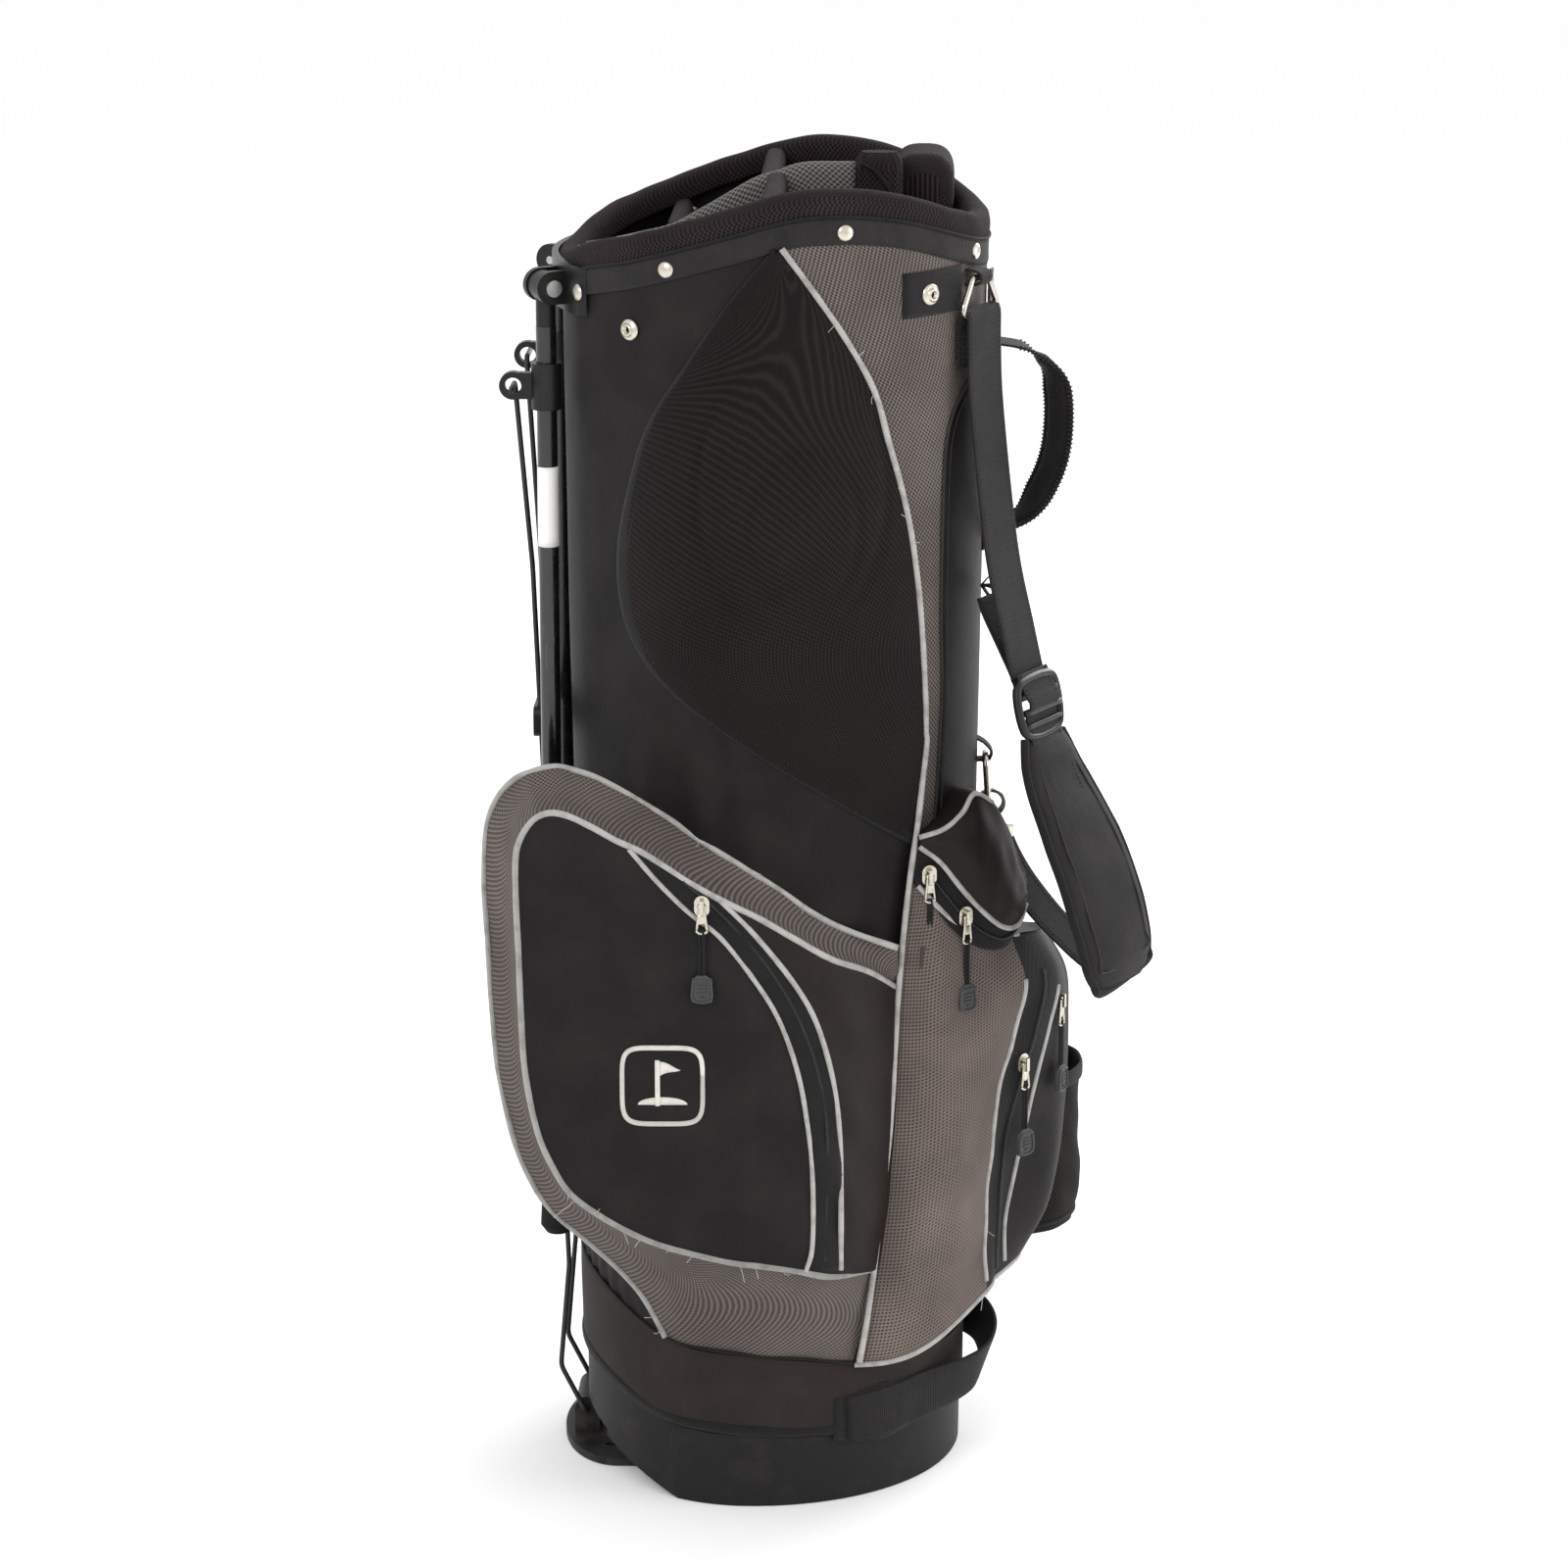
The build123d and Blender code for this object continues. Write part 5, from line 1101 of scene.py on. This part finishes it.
# ---- zip pulls --------------------------------------------------------------------------
# One strand of a pull's doubled cord: its distance from the middle, and how far down it is.
PULL_STRAND = [(0.3, 14.6), (1.0, 17.5), (0.9, 26), (1.0, 36), (1.0, 45)]
for which, turned_to in (("side", -90.0), ("ball_front", -43.3), ("ball_top", -24.6), ("valuables", -72.0),
                         ("spare", -50.0)):
    low, high = box_of(f"zip_pull_{which}")
    out = np.array([cos(radians(turned_to)), sin(radians(turned_to)), 0])
    across = np.array([-out[1], out[0], 0])
    head = np.array([(low[0] + high[0]) / 2, (low[1] + high[1]) / 2, high[2]])
    body = f"pull_{which}"

    def at(side, drop, lift=0.0):
        """A point on this pull, from the middle of its top."""
        return head + across * side + np.array([0, 0, -drop]) + out * lift

    maker = Maker()
    for side in (1, -1):
        wire = [at(side * (1.4 + 1.6 * t), 0.8 + 14.5 * t) for t in np.linspace(0, 1, 9)]
        maker.tube(np.array(wire), 0.85, 8)
    maker.tube(np.array([at(2.0 * cos(t), 1.3 - 1.2 * sin(t)) for t in np.linspace(0, pi, 12)]), 0.9, 8)
    maker.tube(np.array([at(3.1 * cos(t), 15.2 + 2.0 * sin(t)) for t in np.linspace(0, pi, 14)]), 0.9, 8)
    maker.bar(np.array([at(0, 5.5 + d) for d in np.linspace(0, 6.0, 6)]), oval(5.0, 1.2, 4, 10),
              side=across)
    maker.piece(f"pull_tab_{which}", NICKEL, body=body, slot="slider_nickel",
                replaces=[f"zip_pull_{which}"])
    maker = Maker()
    for side in (-1, 1):
        strand = [at(side * s, d, 0.3 * side) for s, d in PULL_STRAND]
        maker.tube(measured(strand, 1.5), 0.95, 7)
    maker.piece(f"pull_cord_{which}", CORD, body=body, slot="pull_cord")
    maker = Maker()
    grip = np.array([at(0, d) for d in np.linspace(43.0, 59.6, 26)])
    taper = np.interp(np.linspace(0, 1, 26), [0, 0.07, 0.12, 0.2, 0.92, 1],
                      [0.5, 0.62, 0.92, 1.0, 1.0, 0.93])
    maker.bar(grip, oval(12.4, 3.4, 6, 24), side=across, wide=taper, thick=np.clip(taper, 0.75, 1))
    rim_line = [at(side * 5.2, d, 1.9) for side, d in ((-0.9, 46), (0.9, 46), (1, 47), (1, 58),
                                                       (-1, 58), (-1, 47), (-0.9, 46))]
    maker.tube(even(rim_line, 40), 0.8, 6)
    for d in (49.0, 51.3, 53.6):
        maker.bar(np.array([at(s, d, 1.9) for s in np.linspace(-3.0, 3.0, 6)]), oval(1.1, 1.1, 2, 8))
    maker.bar(np.array([at(s, 56.2, 1.9) for s in np.linspace(-1.6, 1.6, 6)]), oval(1.6, 1.0, 2, 8))
    maker.piece(f"pull_end_{which}", RUBBER, body=body, slot="pull_cord")

# ---- straps -----------------------------------------------------------------------------
STRAP_TOP, STRAP_TURN = np.array([137.0, -49.0, 0.0]), radians(-30.0)
OUTWARD = np.array([cos(STRAP_TURN), sin(STRAP_TURN), 0])
ACROSS = np.array([sin(STRAP_TURN), -cos(STRAP_TURN), 0])


def hung(points, lift=0.0):
    """(outward, z) points in the strap's vertical plane."""
    return np.array([STRAP_TOP + OUTWARD * (s + lift) + (0, 0, z) for s, z in points])


def tape(name, path, width, body="shoulder_strap", side=ACROSS, thick=2.0, replaces=(), stitches=True):
    """A woven strap with rounded edges and a row of stitches near each edge."""
    line = measured(path, 3.0)
    woven = Maker().bar(line, oval(width, thick, 7, 28), side=side)
    woven.piece(name, STRAP_WEBBING, body=body, slot="strap_webbing", replaces=replaces)
    if stitches:
        sides, ups = frames(line, side)
        rows = Maker()
        for edge in (-1, 1):
            for face in (-1, 1):
                seam = line + sides * edge * (width / 2 - 3.2) + ups * face * (thick / 2 + 0.08)
                for start, end in zip(seam, seam[1:]):
                    rows.tube(np.array([start, start * 0.35 + end * 0.65]), 0.22, 4)
        rows.piece(name + "_stitches", STITCH, body=body, slot="strap_webbing")


UPPER = [(-3.2, 704), (-3.6, 722), (-3.0, 735), (0.2, 739.5), (3.2, 735), (3.6, 716), (6, 676),
         (17, 594), (29, 545), (36, 518)]
tape("strap_webbing_upper_woven", hung(UPPER), 38.0, replaces=["strap_webbing_upper"])
tape("strap_tail", hung([(39, 508), (35, 520), (24, 540), (15, 556), (11, 566)]), 36.0)
tape("strap_through_buckle", hung([(35, 522), (40, 512), (45, 505), (42, 497), (44, 489), (48, 478),
                                   (56, 462), (66, 442)], 3.5), 36.0)

BUCKLE_AT, BUCKLE_LEAN = (41.5, 501.0), 0.22
BUCKLE_OUTLINE = [(-23, 0), (-22, 8), (-19, 14), (-10, 16.5), (0, 17), (10, 16.5), (19, 14), (22, 8),
                  (23, 0), (22.5, -8), (20, -14), (12, -16), (0, -16.5), (-12, -16), (-20, -14),
                  (-22.5, -8), (-23, 0)]


def on_buckle(across, down, lift):
    """A point on the ladder buckle, which leans out as the strap does."""
    outward = OUTWARD * (BUCKLE_AT[0] + BUCKLE_LEAN * down + lift)
    return STRAP_TOP + ACROSS * across + outward + (0, 0, BUCKLE_AT[1] - down)


buckle = Maker()
buckle.bar(even([on_buckle(a, d, 2) for a, d in BUCKLE_OUTLINE], 60), oval(5.0, 7.0, 3, 12))
for down, lift, wide in ((-8.0, 3.5, 4.2), (1.0, 4.5, 5.5), (9.5, 3.5, 4.2)):
    buckle.bar(np.array([on_buckle(a, down, lift) for a in np.linspace(-21, 21, 9)]),
               oval(wide, 3.6, 3, 12))
buckle.piece("ladder_buckle_moulded", BUCKLE, body="shoulder_strap", slot="buckle_plastic",
             replaces=["ladder_buckle"])

PAD_ROUTE = [(46.5, 484), (54, 462), (70, 432), (84, 404), (97, 368), (104, 336)]
PAD_HALF = [(484, 21), (472, 27), (452, 33), (420, 39), (380, 40.5), (352, 38), (340, 31), (334, 20),
            (331, 9)]
pad_line = measured(hung(PAD_ROUTE), 2.5)
width_at = np.interp(-pad_line[:, 2], [-z for z, _ in PAD_HALF], [w for _, w in PAD_HALF])
reach = np.linspace(0, 1, len(pad_line))
fat = np.clip(np.minimum(reach, 1 - reach) / 0.09, 0, 1) ** 0.5
fat = 3.2 + 9.5 * fat + 0.7 * np.sin(reach * 24)
pad = sweep(pad_line, oval(2.0, 1.0, 2.6, 40), ACROSS, wide=width_at, thick=fat)
pad = lifted(pad, -0.7 * crumple(pad[..., 1] * 1.4, pad[..., 2], 91, 48))
maker = Maker().grid(pad)
maker.cap(pad[0][:-1], flip=True).cap(pad[-1][:-1])
cushion = maker.piece("shoulder_pad_cloth", BLACK_NYLON, body="shoulder_strap", slot="pad_fabric",
                      replaces=["shoulder_pad"])
sides, ups = frames(pad_line, ACROSS)
edge = np.vstack([pad_line + sides * width_at[:, None], (pad_line - sides * width_at[:, None])[::-1]])
edge = np.vstack([edge, edge[:1]])
pad_tape = Maker().bar(even(edge[::3], 180), oval(5.4, 5.4, 2.6, 10))
pad_tape.piece("pad_binding", BINDING, body="shoulder_strap", slot="pad_fabric")
ring_line = pad_line[6:-4]
ring_sides = sides[6:-4] * (width_at[6:-4, None] - 10)
seam = np.vstack([ring_line + ring_sides, (ring_line - ring_sides)[::-1]])
lift = np.vstack([ups[6:-4], ups[6:-4][::-1]])
for face in (1, -1):
    Maker().tube(even(seam[::4] + lift[::4] * face * 5.2, 120), 0.5, 5).piece(
        f"pad_seam_{'outer' if face > 0 else 'inner'}", STITCH, body="shoulder_strap", slot="pad_fabric")

hook_low = np.array([151.1, -6.8, 0.0])
away = np.array([0.628, -0.778, 0])
RETURN = [(0, 404), (3, 396), (20, 380), (50, 362), (85, 347), (112, 339)]
tape("strap_webbing_lower_woven", [hook_low + away * s + (0, 0, z) for s, z in RETURN], 25.0,
     side=(0.778, 0.628, 0), replaces=["strap_webbing_lower"])

# The tab that holds the D-ring: a sewn patch and a loop round the ring.
turns = np.linspace(-49.5, -26.5, 16)[None, :]
rows = np.linspace(739, 766, 9)[:, None]
edge_lift = np.minimum(np.clip(np.minimum(turns + 49.5, -26.5 - turns) / 1.0, 0, 1),
                       np.clip(np.minimum(rows - 739, 766 - rows) / 2.0, 0, 1))
patch = barrel(turns, rows, 1.3 + 1.5 * edge_lift)
Maker().grid(patch).piece("strap_tab_patch", STRAP_WEBBING, slot="strap_webbing",
                          replaces=["strap_tab"], thick=1.6)
ring_top = STRAP_TOP + (0, 0, 757.0)
loop = [ring_top + OUTWARD * s + (0, 0, z) for s, z in ((-14, -3), (-4, -4.6), (3.2, -3.2), (4.6, 0),
                                                        (3.2, 3.2), (-4, 4.6), (-14, 3))]
tape("strap_tab_loop", loop, 13.0, body="bag", side=ACROSS, thick=1.5, stitches=False)

anchor = np.array([143.5, -4.0, 452.0])
loop = [anchor + (s, 0, z) for s, z in ((-10, 12), (-2, 9), (3.4, 3.4), (3.8, -0.6), (1.2, -3.6),
                                        (-3.4, -3.0), (-9, -4))]
tape("lower_tab_loop", loop, 10.0, body="bag", side=(0, 1, 0), thick=1.5, replaces=["lower_tab"],
     stitches=False)

# ---- carry handles ----------------------------------------------------------------------
HANDLE_LINE = [(142.5, 708), (150, 708), (168, 703), (184, 683), (184, 640), (169, 606), (151, 592),
               (142.5, 588)]
HANDLE_Y, HANDLE_WIDE = 8.0, 25.0
handle_path = measured([(x, HANDLE_Y, z) for x, z in HANDLE_LINE], 2.5)
reach = np.linspace(0, 1, len(handle_path))
twist = np.radians(42) * np.clip(np.minimum(reach - 0.12, 0.97 - reach) / 0.22, 0, 1) ** 0.8
handle_side = np.column_stack([-np.sin(twist), np.cos(twist), 0 * twist])
maker = Maker().bar(handle_path, oval(HANDLE_WIDE, 1.8, 5, 24), side=handle_side)
stuffed = np.clip(np.minimum(reach - 0.16, 0.9 - reach) / 0.05, 0.1, 1)
maker.bar(handle_path[6:-6], oval(HANDLE_WIDE - 8, 6.6, 2.6, 20), side=handle_side[6:-6],
          wide=0.75 + 0.25 * stuffed[6:-6], thick=stuffed[6:-6])
handle = maker.piece("grab_handle_webbing", STRAP_WEBBING, body=None, slot="handle_webbing",
                     replaces=["grab_handle"])
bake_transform(handle)
laces = Maker()
sides, ups = frames(handle_path, handle_side)
for k in range(8, len(handle_path) - 5):
    for edge in (-1, 1):
        rim_point = handle_path[k] + sides[k] * edge * HANDLE_WIDE / 2
        wrap = [rim_point - sides[k] * edge * 2.2 + ups[k] * 1.2, rim_point + sides[k] * edge * 0.9,
                rim_point - sides[k] * edge * 2.2 - ups[k] * 1.2]
        laces.tube(even(wrap, 6), 0.6, 5)
laced = laces.piece("grab_handle_laces", STITCH, body=None, slot="handle_webbing")
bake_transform(laced)
maker = Maker()
for z in (708, 592):
    turns, rows = np.linspace(-4.5, 11.5, 12)[None, :], np.linspace(z - 10, z + 10, 7)[:, None]
    maker.grid(barrel(turns, rows, 3.4 + 0 * turns))
maker.piece("handle_anchor_patches", STRAP_WEBBING, slot="strap_webbing", replaces=["handle_anchors"],
            thick=1.6)

# The base handle: webbing sewn down on the near side, out round the spine and back.
base_angles = np.array([-62.0, -54, -46, -39])
base_start = barrel(base_angles, np.array([53.0, 54, 55, 56]), 2.8)
base_far = barrel(np.array([26.0, 33, 40]), np.array([65.0, 64, 63]), 2.8)
base_path = measured(np.vstack([base_start, [(131, -53, 57), (145, -35, 61), (149.5, -10, 66),
                                             (145, 20, 68), (134.5, 41, 67)], base_far]), 2.5)
base_run = np.linspace(0, 1, len(base_path))
lean = 0.35 * np.sin(np.clip((base_run - 0.25) / 0.6, 0, 1) * pi)
base_side = np.column_stack([lean, -0.15 * lean, np.ones(len(lean))])
base = Maker().bar(base_path, oval(30, 2.4, 7, 28), side=base_side).piece(
    "base_handle_webbing", STRAP_WEBBING, body=None, slot="handle_webbing", replaces=["base_handle"])
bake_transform(base)
turns, rows = np.linspace(-66, -36, 18)[None, :], np.linspace(-1, 1, 9)[:, None]
patch = barrel(turns, 54.0 + rows * (19 - 0.35 * abs(turns + 51)), 2.3 + 0 * turns)
Maker().grid(patch).piece("base_handle_patch", STRAP_WEBBING, slot="skirt_fabric", thick=0.8)

# A small badge on the spine and an elastic bow lower down.
turn = np.linspace(0, 2 * pi, 49)[None, :]
size = np.linspace(1, 0, 12)[:, None]
badge = barrel(-1.9 + 4.6 * size * np.cos(turn), 741 + 13.5 * size * np.sin(turn),
               3.4 + 1.2 * (1 - size ** 2))
Maker().grid(badge).piece("spine_badge", BLACK_NYLON, slot="spine_fabric", thick=1.0)
badge_lines = Maker()
for reach in (1.0, 0.52):
    badge_lines.tube(barrel(-1.9 + 4.6 * reach * np.cos(turn[0]), 741 + 13.5 * reach * np.sin(turn[0]),
                            4.4), 0.7, 6)
badge_lines.piece("spine_badge_piping", PALE_TAPE, slot="spine_fabric")
bow = Maker()
for up in (1, -1):
    loop = [(140, -33, 566), (145, -36, 566 + up * 6), (149, -37, 566 + up * 4), (146, -35, 566 + up),
            (140, -33, 566)]
    bow.bar(measured(loop, 1.0), oval(5.0, 1.0, 3, 8), side=(0.3, 1, 0))
bow.piece("spine_bow", BINDING, slot="strap_webbing")

# ---- label on the near leg --------------------------------------------------------------
leg_low, leg_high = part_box("leg_tube_near")
leg = (leg_low + leg_high) / 2 / MM
wrap = np.radians(np.linspace(-205, 15, 30))[None, :]
rows = np.linspace(592, 641, 10)[:, None]
reach = 6.1 + 0.3 + 0.5 * np.clip((np.degrees(wrap) - 5) / 10, 0, 1)
sticker = np.stack([leg[0] + reach * np.cos(wrap) + 0 * rows, leg[1] + reach * np.sin(wrap) + 0 * rows,
                    rows + 0 * wrap], -1)
Maker().grid(sticker).piece("leg_label", LABEL, body="leg_near", slot="leg_tube", thick=0.15)
